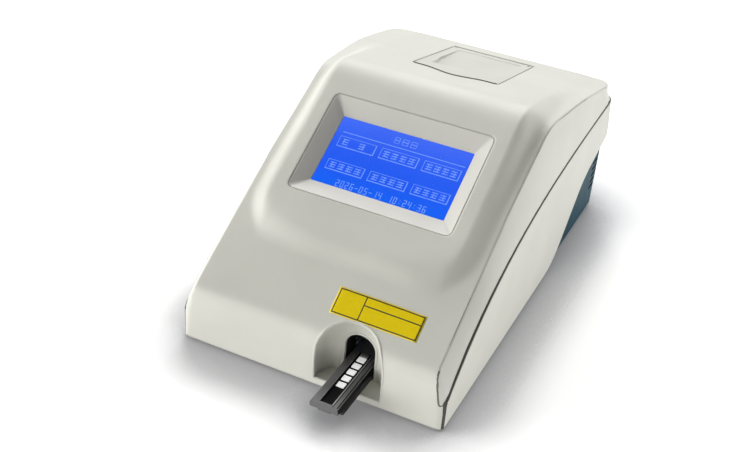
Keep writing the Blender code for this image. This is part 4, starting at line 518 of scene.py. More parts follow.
LID_UP = Vector((0, 0.208, 0.978)).normalized()
LID_RIM, LID_FRONT_REACH, LID_FRONT_LINE, LID_START = 1 * MM, 12 * MM, 8 * MM, 6 * MM
LID_REAR_CORNER = 6.2 * MM
LID_FLAT, LID_STEEP = 0.995, 0.3
LID_FRONT_BEAD = ((0.95 * MM, 0.95 * MM), 0.7)
LID_SIDE_BEAD = ((0.32 * MM, 0.36 * MM), 0.5)


def walk(bm, start, heading, accept):
    """The points along a chain of edges, and the way out at each, from the one nearest to a start."""
    edges = [e for e in bm.edges if len(e.link_faces) == 2 and accept(e)]
    at = {}
    for edge in edges:
        for vertex in edge.verts:
            at.setdefault(vertex, []).append(edge)
    vertex = min(at, key=lambda v: (v.co - start).length)
    path, used, came = [], set(), heading
    while vertex:
        out = Vector()
        for edge in at[vertex]:
            for face in edge.link_faces:
                out += face.normal
        path.append((vertex.co.copy(), out.normalized()))
        choices = [e for e in at[vertex] if e not in used]
        if not choices:
            break
        edge = max(choices, key=lambda e: (e.other_vert(vertex).co - vertex.co).normalized().dot(came))
        used.add(edge)
        following = edge.other_vert(vertex)
        came = (following.co - vertex.co).normalized()
        vertex = following
    return path


def thinned(path, gap):
    """The path with its points at least a gap apart, so that a narrow bead along it doesn't fold."""
    kept = [path[0]]
    for point in path[1:-1]:
        if (point[0] - kept[-1][0]).length > gap:
            kept.append(point)
    return kept + [path[-1]]


def smoothed(path, rounds):
    """The path with each inner point drawn towards its neighbours' middle, a few times over."""
    for _ in range(rounds):
        inner = []
        for before, point, after in zip(path, path[1:], path[2:]):
            place = (before[0] + point[0] * 2 + after[0]) / 4
            inner.append((place, (before[1] + point[1] * 2 + after[1]).normalized()))
        path = [path[0]] + inner + [path[-1]]
    return path


def bead(name, path, form, finish, sides=LINE_SIDES):
    """A round bead on the housing along a path, with its two radii and the share that it is sunk by."""
    radii, sink = form
    bm = bmesh.new()
    rings = []
    for k, (point, out) in enumerate(path):
        ahead = path[min(k + 1, len(path) - 1)][0] - path[max(k - 1, 0)][0]
        ahead.normalize()
        out = (out - ahead * out.dot(ahead)).normalized()
        side = ahead.cross(out)
        radius = radii[0] + (radii[1] - radii[0]) * k / (len(path) - 1)
        middle = point - out * radius * sink
        rings.append([bm.verts.new(middle + (out * math.cos(turn) + side * math.sin(turn)) * radius)
                      for turn in (2 * math.pi * j / sides for j in range(sides))])
    for low, high in zip(rings, rings[1:]):
        for j in range(sides):
            bm.faces.new((low[j], low[(j + 1) % sides], high[(j + 1) % sides], high[j]))
    bm.faces.new(rings[0][::-1])
    bm.faces.new(rings[-1])
    bmesh.ops.recalc_face_normals(bm, faces=bm.faces[:])
    return finished(name, bm, finish, "housing", LINE_SMOOTH_ANGLE)


def edge_angle(edge):
    return math.degrees(edge.calc_face_angle(0))


def edge_middle(edge):
    return (edge.verts[0].co + edge.verts[1].co) / 2


def on_side(side, place):
    """A place that is given for the right side, on either side."""
    return Vector((side * place[0], place[1], place[2]))


def front_point(x, z):
    """A point on the casing's front face, and the way out there."""
    hit, normal, _, _ = shell_tree.ray_cast(Vector((x, -0.25, z)), Vector((0, 1, 0)))
    return hit, normal


def outer_border(edge):
    """Whether an edge is on the casing's outside, between a wall and the shell's lower rim."""
    if edge_angle(edge) < SEAM_ANGLE or not edge.is_convex:
        return False
    middle = edge_middle(edge)
    away = middle - SEAM_CENTRE
    away.z = 0
    outward = max(face.normal.dot(away.normalized()) for face in edge.link_faces)
    at_border = abs(middle.x) > SEAM_SIDE_X or middle.y > SEAM_REAR_Y
    return outward > SEAM_OUTWARD and middle.z < SEAM_TOP and at_border


def make_seam_lines():
    """The dark joint between the two shells, along each side and to the middle of the rear."""
    bm = welded("upper_shell")
    for side, word in SIDES:
        def accept(edge):
            return side * edge_middle(edge).x > -1 * MM and outer_border(edge)
        path = thinned(walk(bm, on_side(side, SEAM_START), CLIMB, accept), SEAM_GAP)
        end, out = path[-1]
        path[-1] = (Vector((0, end.y, end.z)), out)
        bead("seam_line_" + word, path, SEAM_BEADS[side], SEAM)
    bm.free()


def make_niche_rims():
    """Rounded lips round the strip niche's mouth and its throat."""
    bm = welded("upper_shell")
    middle_of_niche = Vector((NICHE_MIDDLE, 0, 0))

    def in_mouth(edge):
        x, y, z = edge_middle(edge)
        return (abs(x - NICHE_MIDDLE) < MOUTH_HALF and z > MOUTH_LOWEST and y < MOUTH_REAR_Y
                and edge_angle(edge) > MOUTH_ANGLE and edge.is_convex)
    path = thinned(walk(bm, middle_of_niche + Vector(MOUTH_START), UPWARD, in_mouth), MOUTH_GAP)
    bead("niche_lip", path, MOUTH_BEAD, FINISH["casing"], LIP_SIDES)

    def in_throat(edge):
        x, y, z = edge_middle(edge)
        return (abs(x - NICHE_MIDDLE) < THROAT_HALF and THROAT_FACE[0] < y < THROAT_FACE[1]
                and edge_angle(edge) > THROAT_ANGLE and edge.is_convex and z > THROAT_LOWEST)
    path = thinned(walk(bm, middle_of_niche + Vector(THROAT_START), UPWARD, in_throat), THROAT_GAP)
    ring = []
    for point, _ in path:
        away = Vector((point.x - NICHE_MIDDLE, 0, max(point.z - NICHE_SPRING, 0))).normalized()
        ring.append((point + away * THROAT_OFFSET, Vector((0, -1, 0))))
    bead("throat_lip", ring, THROAT_BEAD, FINISH["casing"], LIP_SIDES)
    bm.free()


def crease_corner(side, top):
    """The crease's corner: from the seam to a low point on the front face and up to a height."""
    low = front_point(side * CORNER_LOW_X, CORNER_LOW_Z)[0]
    seam = on_side(side, CORNER_SEAM)
    first, second = CORNER_STEPS
    corner = [shell_tree.find_nearest(seam.lerp(low, k / first))[:2] for k in range(first)]
    for k in range(second):
        share = k / second
        x = side * (CORNER_LOW_X + (CREASE_FRONT[0] - CORNER_LOW_X) * share)
        corner.append(front_point(x, CORNER_LOW_Z + (top - CORNER_LOW_Z) * share))
    return corner


def make_crease_lines():
    """A narrow dark bead just under the edge of each side wall, painted shade of the fold there, fainter
    towards the rear.
    """
    bm = welded("upper_shell")
    for side, word in SIDES:
        def on_crease(edge):
            middle = edge_middle(edge)
            along = (edge.verts[1].co - edge.verts[0].co).normalized()
            return (side * middle.x > CREASE_INNER_X and abs(along.y) > 0.5 and edge.is_convex
                    and edge_angle(edge) > CREASE_ANGLE and middle.z > CREASE_LOWEST)
        edge_path = walk(bm, on_side(side, CREASE_FRONT), CLIMB, on_crease)
        path = [(point - UPWARD * CREASE_DROP, (out + Vector((side, 0, 0))).normalized())
                for point, out in edge_path]
        if side > 0:
            path = crease_corner(side, path[0][0].z) + path
        path = smoothed(thinned(path, CREASE_GAP), CORNER_ROUNDS)
        path = [(shell_tree.find_nearest(point)[0] if point.y < CORNER_REAR_Y else point, out)
                for point, out in path]
        bead("crease_shade_line_" + word, path, CREASE_BEADS[side], CREASE)
    bm.free()


def make_lid_lines():
    """The dark gap round the lid: deep along its front and narrow at its sides."""
    bm = welded("printer_lid")
    low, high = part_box("printer_lid")

    def on_top_edge(edge):
        middle = edge_middle(edge)
        levels = sorted(face.normal.dot(LID_UP) for face in edge.link_faces)
        outside = abs(middle.x) > high.x - LID_RIM or middle.y < low.y + LID_FRONT_REACH
        return levels[1] > LID_FLAT and levels[0] < LID_STEEP and edge.is_convex and outside
    start = Vector((low.x, low.y + LID_START, high.z))
    path = walk(bm, start, Vector((1, 0, 0)), on_top_edge)
    bm.free()
    front = [spot for spot in path if spot[0].y < low.y + LID_FRONT_LINE]
    bead("lid_line_front", front, LID_FRONT_BEAD, SEAM)
    _, front_y, front_z = front[-1][0]
    back = high.y - LID_REAR_CORNER - front_y
    for side, word in SIDES:
        ends = (Vector((side * high.x, front_y, front_z)),
                Vector((side * high.x, front_y + back, front_z - back * LID_UP.y / LID_UP.z)))
        bead("lid_line_" + word, [(end, LID_UP) for end in ends], LID_SIDE_BEAD, CREASE)


make_crease_lines()
make_seam_lines()
make_niche_rims()
make_lid_lines()


# Flat faces that details lie on
LEVEL_STEP = 0.05 * MM


def facing(node, direction):
    """The corners of a node's flat faces that look one way, by their distance along it."""
    levels = {}
    mesh = frame["nodes"][node].data
    for polygon in mesh.polygons:
        if polygon.normal.dot(direction) > 0.999:
            for index in polygon.vertices:
                point = mesh.vertices[index].co
                levels.setdefault(round(point.dot(direction) / LEVEL_STEP), []).append(point.copy())
    return levels


glass = frame["nodes"]["touch_panel"].data
SLOPE = max(glass.polygons, key=lambda p: p.area * (p.normal.z > 0)).normal.copy()
UPHILL = Vector((0, SLOPE.z, -SLOPE.y))
display = facing("lcd_module", SLOPE)
# The picture lies on the level under the display's frame
picture_points = display[sorted(display)[-2:][0]]
PICTURE_MIDDLE = sum(picture_points, Vector()) / len(picture_points)


def on_picture(across, down, lift):
    """A point on the display, by shares of its window from the left and from the top."""
    return (PICTURE_MIDDLE + Vector(((across - 0.5) * WINDOW_WIDTH, 0, 0))
            + UPHILL * (0.5 - down) * WINDOW_HEIGHT + SLOPE * lift)


def slab(bm, corners, thick):
    """A thin plate: four corners, and its thickness against their normal."""
    down = (corners[1] - corners[0]).cross(corners[3] - corners[0]).normalized() * thick
    top = [bm.verts.new(c) for c in corners]
    low = [bm.verts.new(c - down) for c in corners]
    bm.faces.new(top)
    bm.faces.new(low[::-1])
    for k in range(4):
        bm.faces.new((top[k], low[k], low[(k + 1) % 4], top[(k + 1) % 4]))


# The picture: how its marks stand over the display, and its layout in shares of the window's width or
# height
MARK_LIFT, MARK_THICK = 0.06 * MM, 0.04 * MM
THIN, THICK = 0.004, 0.008
TITLE_BOXES = ((0.415, 0.455), (0.475, 0.52), (0.54, 0.585))
TITLE_ROWS, TITLE_BAR = (0.05, 0.14), (0.088, 0.1)
RULE = (0.036, 0.967, 0.184, 0.196)
COLUMNS = ((0.035, 0.32), (0.36, 0.645), (0.685, 0.96))
ROWS = ((0.25, 0.41), (0.61, 0.76))
DATE_SPAN, TIME_SPAN, DIGIT_ROWS = (0.16, 0.52), (0.56, 0.85), (0.86, 0.955)
# A button's signs: margins in shares of the window, bars in shares of the button's height
SIGN_LEFT, SIGN_MARGIN = 0.014, 0.03
SIGN_GAP, SIGN_WIDE, SIGN_NARROW = 0.14, 0.72, 0.34
SIGN_BARS, SIGN_BAR = (0.22, 0.44, 0.66), 0.09
STEM_HALF, STEM_SHIFT, STEM_SPAN = 0.003, 0.2, (0.2, 0.76)
# A digit's gap, width and stroke, in shares of the digits' pitch
DIGIT_GAP, DIGIT_WIDTH, DIGIT_STROKE = 0.14, 0.66, 0.16
DIGIT_STROKES = {"0": "abcdef", "1": "bc", "2": "abged", "3": "abgcd", "4": "fgbc", "5": "afgcd",
                 "6": "afgedc", "7": "abc", "8": "abcdefg", "9": "abcdfg"}


def mark(bm, left, right, top, bottom):
    """A light bar on the display."""
    around = ((left, bottom), (right, bottom), (right, top), (left, top))
    slab(bm, [on_picture(x, y, MARK_LIFT) for x, y in around], MARK_THICK)


def mark_frame(bm, left, right, top, bottom, thin, thick):
    """A button's outline: its bottom and right sides are thicker, as if it stood out."""
    ratio = WINDOW_WIDTH / WINDOW_HEIGHT
    mark(bm, left, right, top, top + thin * ratio)
    mark(bm, left, right, bottom - thick * ratio, bottom)
    mark(bm, left, left + thin, top + thin * ratio, bottom - thick * ratio)
    mark(bm, right - thick, right, top + thin * ratio, bottom - thick * ratio)


def mark_digits(bm, text, left, right, top, bottom):
    """Plain seven-stroke digits, with dashes and colons between them."""
    pitch = (right - left) / len(text)
    stroke = pitch * DIGIT_STROKE
    tall = stroke * WINDOW_WIDTH / WINDOW_HEIGHT
    middle = (top + bottom) / 2
    for k, sign in enumerate(text):
        x0 = left + pitch * k + pitch * DIGIT_GAP
        x1 = x0 + pitch * DIGIT_WIDTH
        if sign == "-":
            mark(bm, x0, x1, middle - tall / 2, middle + tall / 2)
        if sign == ":":
            for y in (top * 0.7 + bottom * 0.3, top * 0.3 + bottom * 0.7):
                mark(bm, (x0 + x1 - stroke) / 2, (x0 + x1 + stroke) / 2, y - tall / 2, y + tall / 2)
        strokes = {"a": (x0, x1, top, top + tall), "d": (x0, x1, bottom - tall, bottom),
                   "g": (x0, x1, middle - tall / 2, middle + tall / 2),
                   "f": (x0, x0 + stroke, top, middle), "e": (x0, x0 + stroke, middle, bottom),
                   "b": (x1 - stroke, x1, top, middle), "c": (x1 - stroke, x1, middle, bottom)}
        for letter in DIGIT_STROKES.get(sign, ""):
            mark(bm, *strokes[letter])


def make_button(bm, left, right, top, bottom, signs, width):
    """A framed button with plain signs in it: three bars and a stem each."""
    mark_frame(bm, left, right, top, bottom, THIN, THICK)
    height = bottom - top
    pitch = (right - left - SIGN_MARGIN) / signs
    for k in range(signs):
        x0 = left + SIGN_LEFT + pitch * (k + SIGN_GAP)
        x1 = x0 + pitch * width
        for level in SIGN_BARS:
            mark(bm, x0, x1, top + height * level, top + height * (level + SIGN_BAR))
        middle = (x0 + x1) / 2 + (k % 2 - 0.5) * pitch * STEM_SHIFT
        mark(bm, middle - STEM_HALF, middle + STEM_HALF, *(top + height * share for share in STEM_SPAN))


def make_picture():
    """The display's picture: a title, two rows of buttons and a line of digits."""
    bm = bmesh.new()
    for left, right in TITLE_BOXES:
        mark_frame(bm, left, right, *TITLE_ROWS, THIN, THIN)
        mark(bm, left, right, *TITLE_BAR)
    mark(bm, *RULE)
    for row in ROWS:
        for column in COLUMNS:
            first = row is ROWS[0] and column is COLUMNS[0]
            make_button(bm, *column, *row, 2 if first else 4, SIGN_NARROW if first else SIGN_WIDE)
    mark_digits(bm, "2026-05-14", *DATE_SPAN, *DIGIT_ROWS)
    mark_digits(bm, "10:24:36", *TIME_SPAN, *DIGIT_ROWS)
    finished("display_marks", bm, MARKS, "housing")


make_picture()


# Plate on the lower slope. The plate starts a dip under the casing's surface, and its rules start a dip
# under the plate's own surface and stand a lift over it.
PLATE_DIP = 0.02 * MM
RULE_DIP, RULE_LIFT = 0.04 * MM, 0.03 * MM
RULE_INSET, RULE_WIDTH = 0.7 * MM, 0.75 * MM
SPLIT_ACROSS, SPLIT_UP = 0.315, 0.6
ACROSS_STEPS, SPLIT_STEPS, UP_STEPS = 24, 18, 8
casing_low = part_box("upper_shell")[0]


def on_slope(x, t, lift):
    """A point on the casing's top, found straight below a point of the slope's own plane."""
    start = Vector((x, casing_low.y + t * SLOPE.z, 0.2))
    hit, normal, _, _ = shell_tree.ray_cast(start, Vector((0, 0, -1)))
    return hit + normal * lift


def rim_of(grid):
    """The points round a grid's border, in order."""
    return grid[0] + [row[-1] for row in grid[1:]] + grid[-1][-2::-1] + [row[0] for row in grid[-2:0:-1]]


def draped(bm, x0, x1, t0, t1, low, high, steps_x, steps_t):
    """A thin sheet that follows the casing between two heights above it."""
    def grid(lift):
        return [[bm.verts.new(on_slope(x0 + (x1 - x0) * i / steps_x, t0 + (t1 - t0) * j / steps_t, lift))
                 for i in range(steps_x + 1)] for j in range(steps_t + 1)]
    top, under = grid(high), grid(low)
    for j in range(steps_t):
        for i in range(steps_x):
            bm.faces.new((top[j][i], top[j][i + 1], top[j + 1][i + 1], top[j + 1][i]))
            bm.faces.new((under[j][i], under[j + 1][i], under[j + 1][i + 1], under[j][i + 1]))
    rim_top, rim_low = rim_of(top), rim_of(under)
    for k in range(len(rim_top)):
        after = (k + 1) % len(rim_top)
        bm.faces.new((rim_top[k], rim_low[k], rim_low[after], rim_top[after]))


def make_label_plate():
    """A bare yellow plate, with a frame and two rules that part it in three."""
    bm = bmesh.new()
    draped(bm, *LABEL_X, *LABEL_T, -PLATE_DIP, LABEL_THICK, ACROSS_STEPS, UP_STEPS)
    finished("label_plate", bm, LABEL_YELLOW, "housing", LINE_SMOOTH_ANGLE)

    x0, x1 = LABEL_X[0] + RULE_INSET, LABEL_X[1] - RULE_INSET
    t0, t1 = LABEL_T[0] + RULE_INSET, LABEL_T[1] - RULE_INSET
    inner = (t0 + RULE_WIDTH, t1 - RULE_WIDTH)
    split_x = LABEL_X[0] + (LABEL_X[1] - LABEL_X[0]) * SPLIT_ACROSS
    split_t = LABEL_T[0] + (LABEL_T[1] - LABEL_T[0]) * SPLIT_UP
    split = (split_x + RULE_WIDTH, x1 - RULE_WIDTH, split_t, split_t + RULE_WIDTH)
    bm = bmesh.new()
    for box, steps in (((x0, x1, t0, inner[0]), (ACROSS_STEPS, 1)),
                       ((x0, x1, inner[1], t1), (ACROSS_STEPS, 1)),
                       ((x0, x0 + RULE_WIDTH, *inner), (1, UP_STEPS)),
                       ((x1 - RULE_WIDTH, x1, *inner), (1, UP_STEPS)),
                       ((split_x, split_x + RULE_WIDTH, *inner), (1, UP_STEPS)),
                       (split, (SPLIT_STEPS, 1))):
        draped(bm, *box, LABEL_THICK - RULE_DIP, LABEL_THICK + RULE_LIFT, *steps)
    finished("label_rules", bm, LABEL_INK, "housing", LINE_SMOOTH_ANGLE)


make_label_plate()


# Small parts of the rear panel and the tray. A pair of depths says where a part starts and ends, outward
# from the face that it belongs to.
INSERT_WIDTH, INSERT_HEIGHT = 0.9, 0.82
INSERT_DEPTHS = (-0.4 * MM, 0.1 * MM)
CONTACT_PITCH, CONTACT_ROW = 2.77 * MM, 1.42 * MM
CONTACT_RADIUS, CONTACT_TOP = 0.78 * MM, 0.16 * MM
HOLE_RADIUS, HOLE_TOP = 0.48 * MM, 0.2 * MM
POST_AWAY, POST_RADIUS, POST_DEPTHS, POST_EDGE = 12.5 * MM, 2.8 * MM, (-0.3 * MM, 1.6 * MM), 0.2 * MM
BORE_RADIUS, BORE_TOP = 1.2 * MM, 1.66 * MM

SLEEVE_HALF, SLEEVE_DEPTHS, SLEEVE_EDGE = 5.1 * MM, (-12 * MM, -0.9 * MM), 0.15 * MM
SLEEVE_LOW, SLEEVE_HIGH = -0.98 * MM, 1.0 * MM
USB_PITCH, USB_HALF, USB_DEPTHS = 2.3 * MM, 0.5 * MM, (-11 * MM, -1.2 * MM)
USB_LOW, USB_HIGH = 0.9 * MM, 1.08 * MM

SCREW_INSET, SCREW_RADIUS, SCREW_DEPTHS = 2.6 * MM, 1.7 * MM, (-0.3 * MM, 0.06 * MM)
SLOT_LONG, SLOT_HALF, SLOT_TOP = 1.1 * MM, 0.22 * MM, 0.09 * MM

MARK_DIP, MARK_RISE = 0.03 * MM, 0.05 * MM
ON_MARK_DOWN, ON_MARK_HALF, ON_MARK_TALL = 4.2 * MM, 0.3 * MM, 1.5 * MM
OFF_MARK_UP, OFF_MARK_RADII, OFF_MARK_STEPS = 4.0 * MM, (1.15 * MM, 1.65 * MM), 28

# Across the tray, from the strip's right side and its left: where a rib starts and how wide it is
RIGHT_RIB, LEFT_RIB = (0.75 * MM, 0.7 * MM), (-0.95 * MM, 0.2 * MM)
RIB_FRONT, RIB_RISE, RIB_EDGE = 0.6 * MM, 0.22 * MM, 0.08 * MM
# Dark strips of painted groove shade: where each starts across from the strip's right side, and how wide it
# is
PAINTED_GROOVE_SHADE = ((1.45 * MM, 0.45 * MM), (4.3 * MM, 0.6 * MM))
DARK_FRONT, DARK_RISE = 1.8 * MM, 0.04 * MM
TRAY_SINK = 0.1 * MM


def brick(bm, low, high):
    """A box between two corners."""
    corners = [Vector((x, y, high[2])) for x, y in ((low[0], low[1]), (high[0], low[1]),
                                                    (high[0], high[1]), (low[0], high[1]))]
    slab(bm, corners, high[2] - low[2])


def disc(bm, centre, radius, rear, front, sides=20, turned=0.0):
    """A short round or many-sided bar along the rear panel's outward direction."""
    turns = [turned + 2 * math.pi * k / sides for k in range(sides)]
    rings = [[bm.verts.new((centre[0] + radius * math.cos(a), y, centre[1] + radius * math.sin(a)))
              for a in turns] for y in (rear, front)]
    for k in range(sides):
        bm.faces.new((rings[0][k], rings[0][(k + 1) % sides], rings[1][(k + 1) % sides], rings[1][k]))
    bm.faces.new(rings[0][::-1])
    bm.faces.new(rings[1])
    bmesh.ops.recalc_face_normals(bm, faces=bm.faces[:])


def make_serial_details():
    """The plug face's insert with nine contacts, and the two hexagonal posts beside it."""
    low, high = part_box("serial_port")
    x, z = (low.x + high.x) / 2, (low.z + high.z) / 2
    mesh = frame["nodes"]["serial_port"].data
    rim = {tuple(round(c, 5) for c in v.co) for v in mesh.vertices if v.co.y > high.y - 0.1 * MM}
    rim = sorted(rim, key=lambda c: math.atan2(c[2] - z, c[0] - x))
    bm = bmesh.new()
    rear, front = [[bm.verts.new((x + (c[0] - x) * INSERT_WIDTH, high.y + depth,
                                  z + (c[2] - z) * INSERT_HEIGHT)) for c in rim]
                   for depth in INSERT_DEPTHS]
    for k in range(len(rim)):
        after = (k + 1) % len(rim)
        bm.faces.new((rear[k], rear[after], front[after], front[k]))
    bm.faces.new(rear[::-1])
    bm.faces.new(front)
    bmesh.ops.recalc_face_normals(bm, faces=bm.faces[:])
    finished("serial_insert", bm, FINISH["black_plastic"], "housing")

    rings, holes = bmesh.new(), bmesh.new()
    for count, height in ((5, CONTACT_ROW), (4, -CONTACT_ROW)):
        for k in range(count):
            spot = (x + (k - (count - 1) / 2) * CONTACT_PITCH, z + height)
            disc(rings, spot, CONTACT_RADIUS, high.y, high.y + CONTACT_TOP)
            disc(holes, spot, HOLE_RADIUS, high.y, high.y + HOLE_TOP)
    finished("serial_contacts", rings, BRASS, "housing")
    finished("serial_contact_holes", holes, FINISH["black_plastic"], "housing")

    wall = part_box("base_housing")[1].y
    posts, bores = bmesh.new(), bmesh.new()
    for side, _ in SIDES:
        spot = (x + side * POST_AWAY, z)
        disc(posts, spot, POST_RADIUS, wall + POST_DEPTHS[0], wall + POST_DEPTHS[1], 6, math.pi / 6)
        disc(bores, spot, BORE_RADIUS, wall, wall + BORE_TOP)
    soften(posts, POST_EDGE)
    finished("serial_posts", posts, BRIGHT, "housing")
    finished("serial_post_bores", bores, FINISH["black_plastic"], "housing")


def make_usb_details():
    """The tongue's white sleeve and its four contacts."""
    low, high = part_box("usb_port")
    x, z = (low.x + high.x) / 2, (low.z + high.z) / 2
    bm = bmesh.new()
    brick(bm, (x - SLEEVE_HALF, high.y + SLEEVE_DEPTHS[0], z + SLEEVE_LOW),
          (x + SLEEVE_HALF, high.y + SLEEVE_DEPTHS[1], z + SLEEVE_HIGH))
    soften(bm, SLEEVE_EDGE)
    finished("usb_sleeve", bm, WHITE_INK, "housing")
    bm = bmesh.new()
    for k in range(4):
        spot = x + (k - 1.5) * USB_PITCH
        brick(bm, (spot - USB_HALF, high.y + USB_DEPTHS[0], z + USB_LOW),
              (spot + USB_HALF, high.y + USB_DEPTHS[1], z + USB_HIGH))
    finished("usb_contacts", bm, BRASS, "housing")


def make_inlet_screws():
    """The screws that hold the power inlet, each with a cross slot."""
    low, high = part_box("power_inlet")
    z = (low.z + high.z) / 2
    heads, slots = bmesh.new(), bmesh.new()
    for x in (low.x + SCREW_INSET, high.x - SCREW_INSET):
        disc(heads, (x, z), SCREW_RADIUS, high.y + SCREW_DEPTHS[0], high.y + SCREW_DEPTHS[1], 24)
        for wide, tall in ((SLOT_LONG, SLOT_HALF), (SLOT_HALF, SLOT_LONG)):
            brick(slots, (x - wide, high.y, z - tall), (x + wide, high.y + SLOT_TOP, z + tall))
    finished("inlet_screws", heads, BRIGHT, "housing")
    finished("inlet_screw_slots", slots, FINISH["black_plastic"], "housing")


def make_rocker_marks():
    """The on and off marks, pressed into the rocker's two halves."""
    tree = tree_of("power_rocker")
    low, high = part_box("power_rocker")
    x = (low.x + high.x) / 2

    def on_rocker(spot, lift):
        hit, normal, _, _ = tree.ray_cast(Vector((spot[0], high.y + 20 * MM, spot[1])), Vector((0, -1, 0)))
        return hit + normal * lift

    def ribbon(bm, rows, closed):
        """A thin band between pairs of points on the rocker."""
        under, over = [[[bm.verts.new(on_rocker(spot, lift)) for spot in row] for row in rows]
                       for lift in (-MARK_DIP, MARK_RISE)]
        count = len(rows)
        for k in range(count if closed else count - 1):
            a, b = k, (k + 1) % count
            bm.faces.new((over[a][0], over[b][0], over[b][1], over[a][1]))
            bm.faces.new((under[a][0], under[a][1], under[b][1], under[b][0]))
            for j in (0, 1):
                bm.faces.new((under[a][j], under[b][j], over[b][j], over[a][j]))
        if not closed:
            for k in (0, count - 1):
                bm.faces.new((under[k][0], under[k][1], over[k][1], over[k][0]))
        bmesh.ops.recalc_face_normals(bm, faces=bm.faces[:])
    bm = bmesh.new()
    bar = high.z - ON_MARK_DOWN
    ribbon(bm, [((x - ON_MARK_HALF, z), (x + ON_MARK_HALF, z))
                for z in (bar - ON_MARK_TALL, bar + ON_MARK_TALL)], False)
    ring = low.z + OFF_MARK_UP
    turns = [2 * math.pi * k / OFF_MARK_STEPS for k in range(OFF_MARK_STEPS)]
    ribbon(bm, [tuple((x + radius * math.cos(a), ring + radius * math.sin(a)) for radius in OFF_MARK_RADII)
                for a in turns], True)
    finished("rocker_marks", bm, WHITE_INK, BODY_OF["power_rocker"])


def make_tray_ribs():
    """A low rib along each side of the tray's groove, lighter than the tray as a painted highlight, and two
    dark strips along its right half as painted groove shade.
    """
    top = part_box("strip_tray")[1].z
    strip_low, strip_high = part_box("test_strip")
    bm = bmesh.new()
    for x, wide in ((strip_high.x + RIGHT_RIB[0], RIGHT_RIB[1]), (strip_low.x + LEFT_RIB[0], LEFT_RIB[1])):
        brick(bm, (x, strip_low.y - RIB_FRONT, top - TRAY_SINK), (x + wide, strip_high.y, top + RIB_RISE))
    soften(bm, RIB_EDGE)
    finished("tray_ribs", bm, RIB_PAINTED_HIGHLIGHT, BODY_OF["strip_tray"])
    bm = bmesh.new()
    for away, wide in PAINTED_GROOVE_SHADE:
        x = strip_high.x + away
        brick(bm, (x, strip_low.y - DARK_FRONT, top - TRAY_SINK), (x + wide, strip_high.y, top + DARK_RISE))
    finished("tray_painted_groove_shade", bm, BLACK_AND_PAINTED_SHADE, BODY_OF["strip_tray"])


make_serial_details()
make_usb_details()
make_inlet_screws()
make_rocker_marks()
make_tray_ribs()


# Camera, lamps and surroundings. A lamp has its name, the direction towards it, its width in degrees
# and its level; their levels were fitted to the photograph's tones.
LAMPS = (
    ("rear_left_lamp", (-0.30, 0.72, 0.62), 34, 0.45),
    ("rear_right_lamp", (0.3, 0.8, 0.5), 50, 0.46),
    ("left_lamp", (-0.9, -0.35, 0.25), 50, 0.87),
    ("front_lamp", (-0.42, -0.88, 0.14), 50, 0.23),
    ("right_bounce", (0.92, 0, -0.38), 50, 0.50),
    ("front_bounce", (0, -0.9, -0.42), 50, 0.19),
)
FILL_LEVEL = 0.05

# How near the object the floor's colour is darkened as painted shadow, by which tones, and the floor's own
# light in its seen tone
PAINTED_SHADOW_REACH = 50 * MM
PAINTED_SHADOW_TONES = ((0.42, (0.30, 0.30, 0.31, 1)), (0.82, (0.57, 0.57, 0.58, 1)), (0.92, WHITE))
GLOW_SHARE = 0.42
FLOOR_HALF = 4


def make_camera():
    """The photograph's camera, from its fitted direction, roll, distance and offset."""
    cos_e = math.cos(ELEVATION)
    back = Vector((math.sin(AZIMUTH) * cos_e, -math.cos(AZIMUTH) * cos_e, math.sin(ELEVATION)))
    right = (-back).cross(Vector((0, 0, 1))).normalized()
    upward = right.cross(-back)
    r = right * math.cos(ROLL) + upward * math.sin(ROLL)
    u = upward * math.cos(ROLL) - right * math.sin(ROLL)
    place = TARGET + back * DISTANCE - (r * OFFSET_X - u * OFFSET_Y) * (DISTANCE / FOCUS_PIXELS)
    data = bpy.data.cameras.new("photo_camera")
    data.sensor_width = FILM_WIDTH
    data.lens = FOCUS_PIXELS / IMAGE_WIDTH * FILM_WIDTH
    data.clip_start = 0.01
    camera = bpy.data.objects.new("photo_camera", data)
    bpy.context.scene.collection.objects.link(camera)
    matrix = Matrix((r, u, back)).transposed().to_4x4()
    matrix.translation = place
    camera.matrix_world = matrix
    bpy.context.scene.camera = camera


def make_lamp(name, toward, width_deg, level):
    """A far, wide lamp: a white surface that faces it is lit to the level."""
    data = bpy.data.lights.new(name, "SUN")
    data.angle = math.radians(width_deg)
    data.energy = level * math.pi
    lamp = bpy.data.objects.new(name, data)
    lamp.rotation_euler = Vector(toward).to_track_quat("Z", "Y").to_euler()
    lamp.location = Vector(toward)
    bpy.context.scene.collection.objects.link(lamp)


def seen_white(tree, shader_output, target, white):
    """Camera, glossy and transmission rays see the white shader instead of the other one."""
    path = tree.nodes.new("ShaderNodeLightPath")
    total = path.outputs["Is Camera Ray"]
    for name in ("Is Glossy Ray", "Is Transmission Ray"):
        either = tree.nodes.new("ShaderNodeMath")
        either.operation = "MAXIMUM"
        tree.links.new(total, either.inputs[0])
        tree.links.new(path.outputs[name], either.inputs[1])
        total = either.outputs["Value"]
    mix = tree.nodes.new("ShaderNodeMixShader")
    tree.links.new(total, mix.inputs["Fac"])
    tree.links.new(shader_output, mix.inputs[1])
    tree.links.new(white, mix.inputs[2])
    tree.links.new(mix.outputs["Shader"], target)


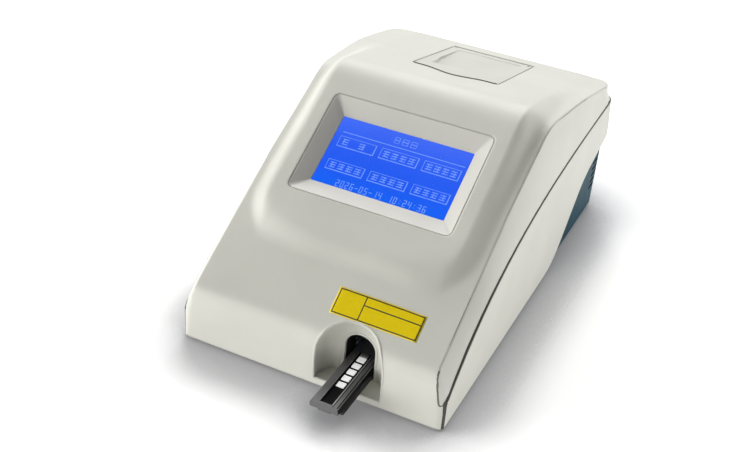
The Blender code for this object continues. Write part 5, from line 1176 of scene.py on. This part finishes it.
def make_world():
    """A weak even fill that is seen as white."""
    world = bpy.data.worlds.new("studio")
    bpy.context.scene.world = world
    world.use_nodes = True
    tree = world.node_tree
    fill = tree.nodes["Background"]
    fill.inputs["Color"].default_value = WHITE
    fill.inputs["Strength"].default_value = FILL_LEVEL
    white = tree.nodes.new("ShaderNodeBackground")
    white.inputs["Strength"].default_value = 1
    white.inputs["Color"].default_value = WHITE
    seen_white(tree, fill.outputs["Background"], tree.nodes["World Output"].inputs["Surface"],
               white.outputs["Background"])


def make_floor():
    """White paper that keeps the object's shadow, with painted shadow that darkens its colour close to the
    object.
    """
    bm = bmesh.new()
    bmesh.ops.create_grid(bm, x_segments=1, y_segments=1, size=FLOOR_HALF)
    mesh = bpy.data.meshes.new("floor")
    bm.to_mesh(mesh)
    bm.free()
    n = Nodes("floor_paper")
    n.colour(n.ramp(n.noise(3), (0.3, (0.80, 0.80, 0.80, 1)), (0.7, (0.82, 0.82, 0.82, 1))))
    n.give(Roughness=0.9, Specular_IOR_Level=0.1)
    # Painted shadow: occlusion close to the object darkens the floor's seen colour and its glow
    near = n.add("ShaderNodeAmbientOcclusion", Distance=PAINTED_SHADOW_REACH)
    near.samples = 8
    tone = n.ramp(near.outputs["AO"], *PAINTED_SHADOW_TONES)
    lit = n.add("ShaderNodeBsdfDiffuse")
    glow = n.add("ShaderNodeEmission", Strength=GLOW_SHARE)
    for shader in (lit, glow):
        n.link(tone, shader.inputs["Color"])
    seen = n.add("ShaderNodeAddShader")
    n.link(lit.outputs["BSDF"], seen.inputs[0])
    n.link(glow.outputs["Emission"], seen.inputs[1])
    seen_white(n.tree, n.shader.outputs["BSDF"], n.tree.nodes["Material Output"].inputs["Surface"],
               seen.outputs["Shader"])
    mesh.materials.append(n.material)
    floor = bpy.data.objects.new("floor", mesh)
    bpy.context.scene.collection.objects.link(floor)
    floor.visible_shadow = False


make_camera()
for lamp in LAMPS:
    make_lamp(*lamp)
make_world()
make_floor()

bpy.context.scene.view_settings.view_transform = "Standard"
bpy.context.view_layer.update()
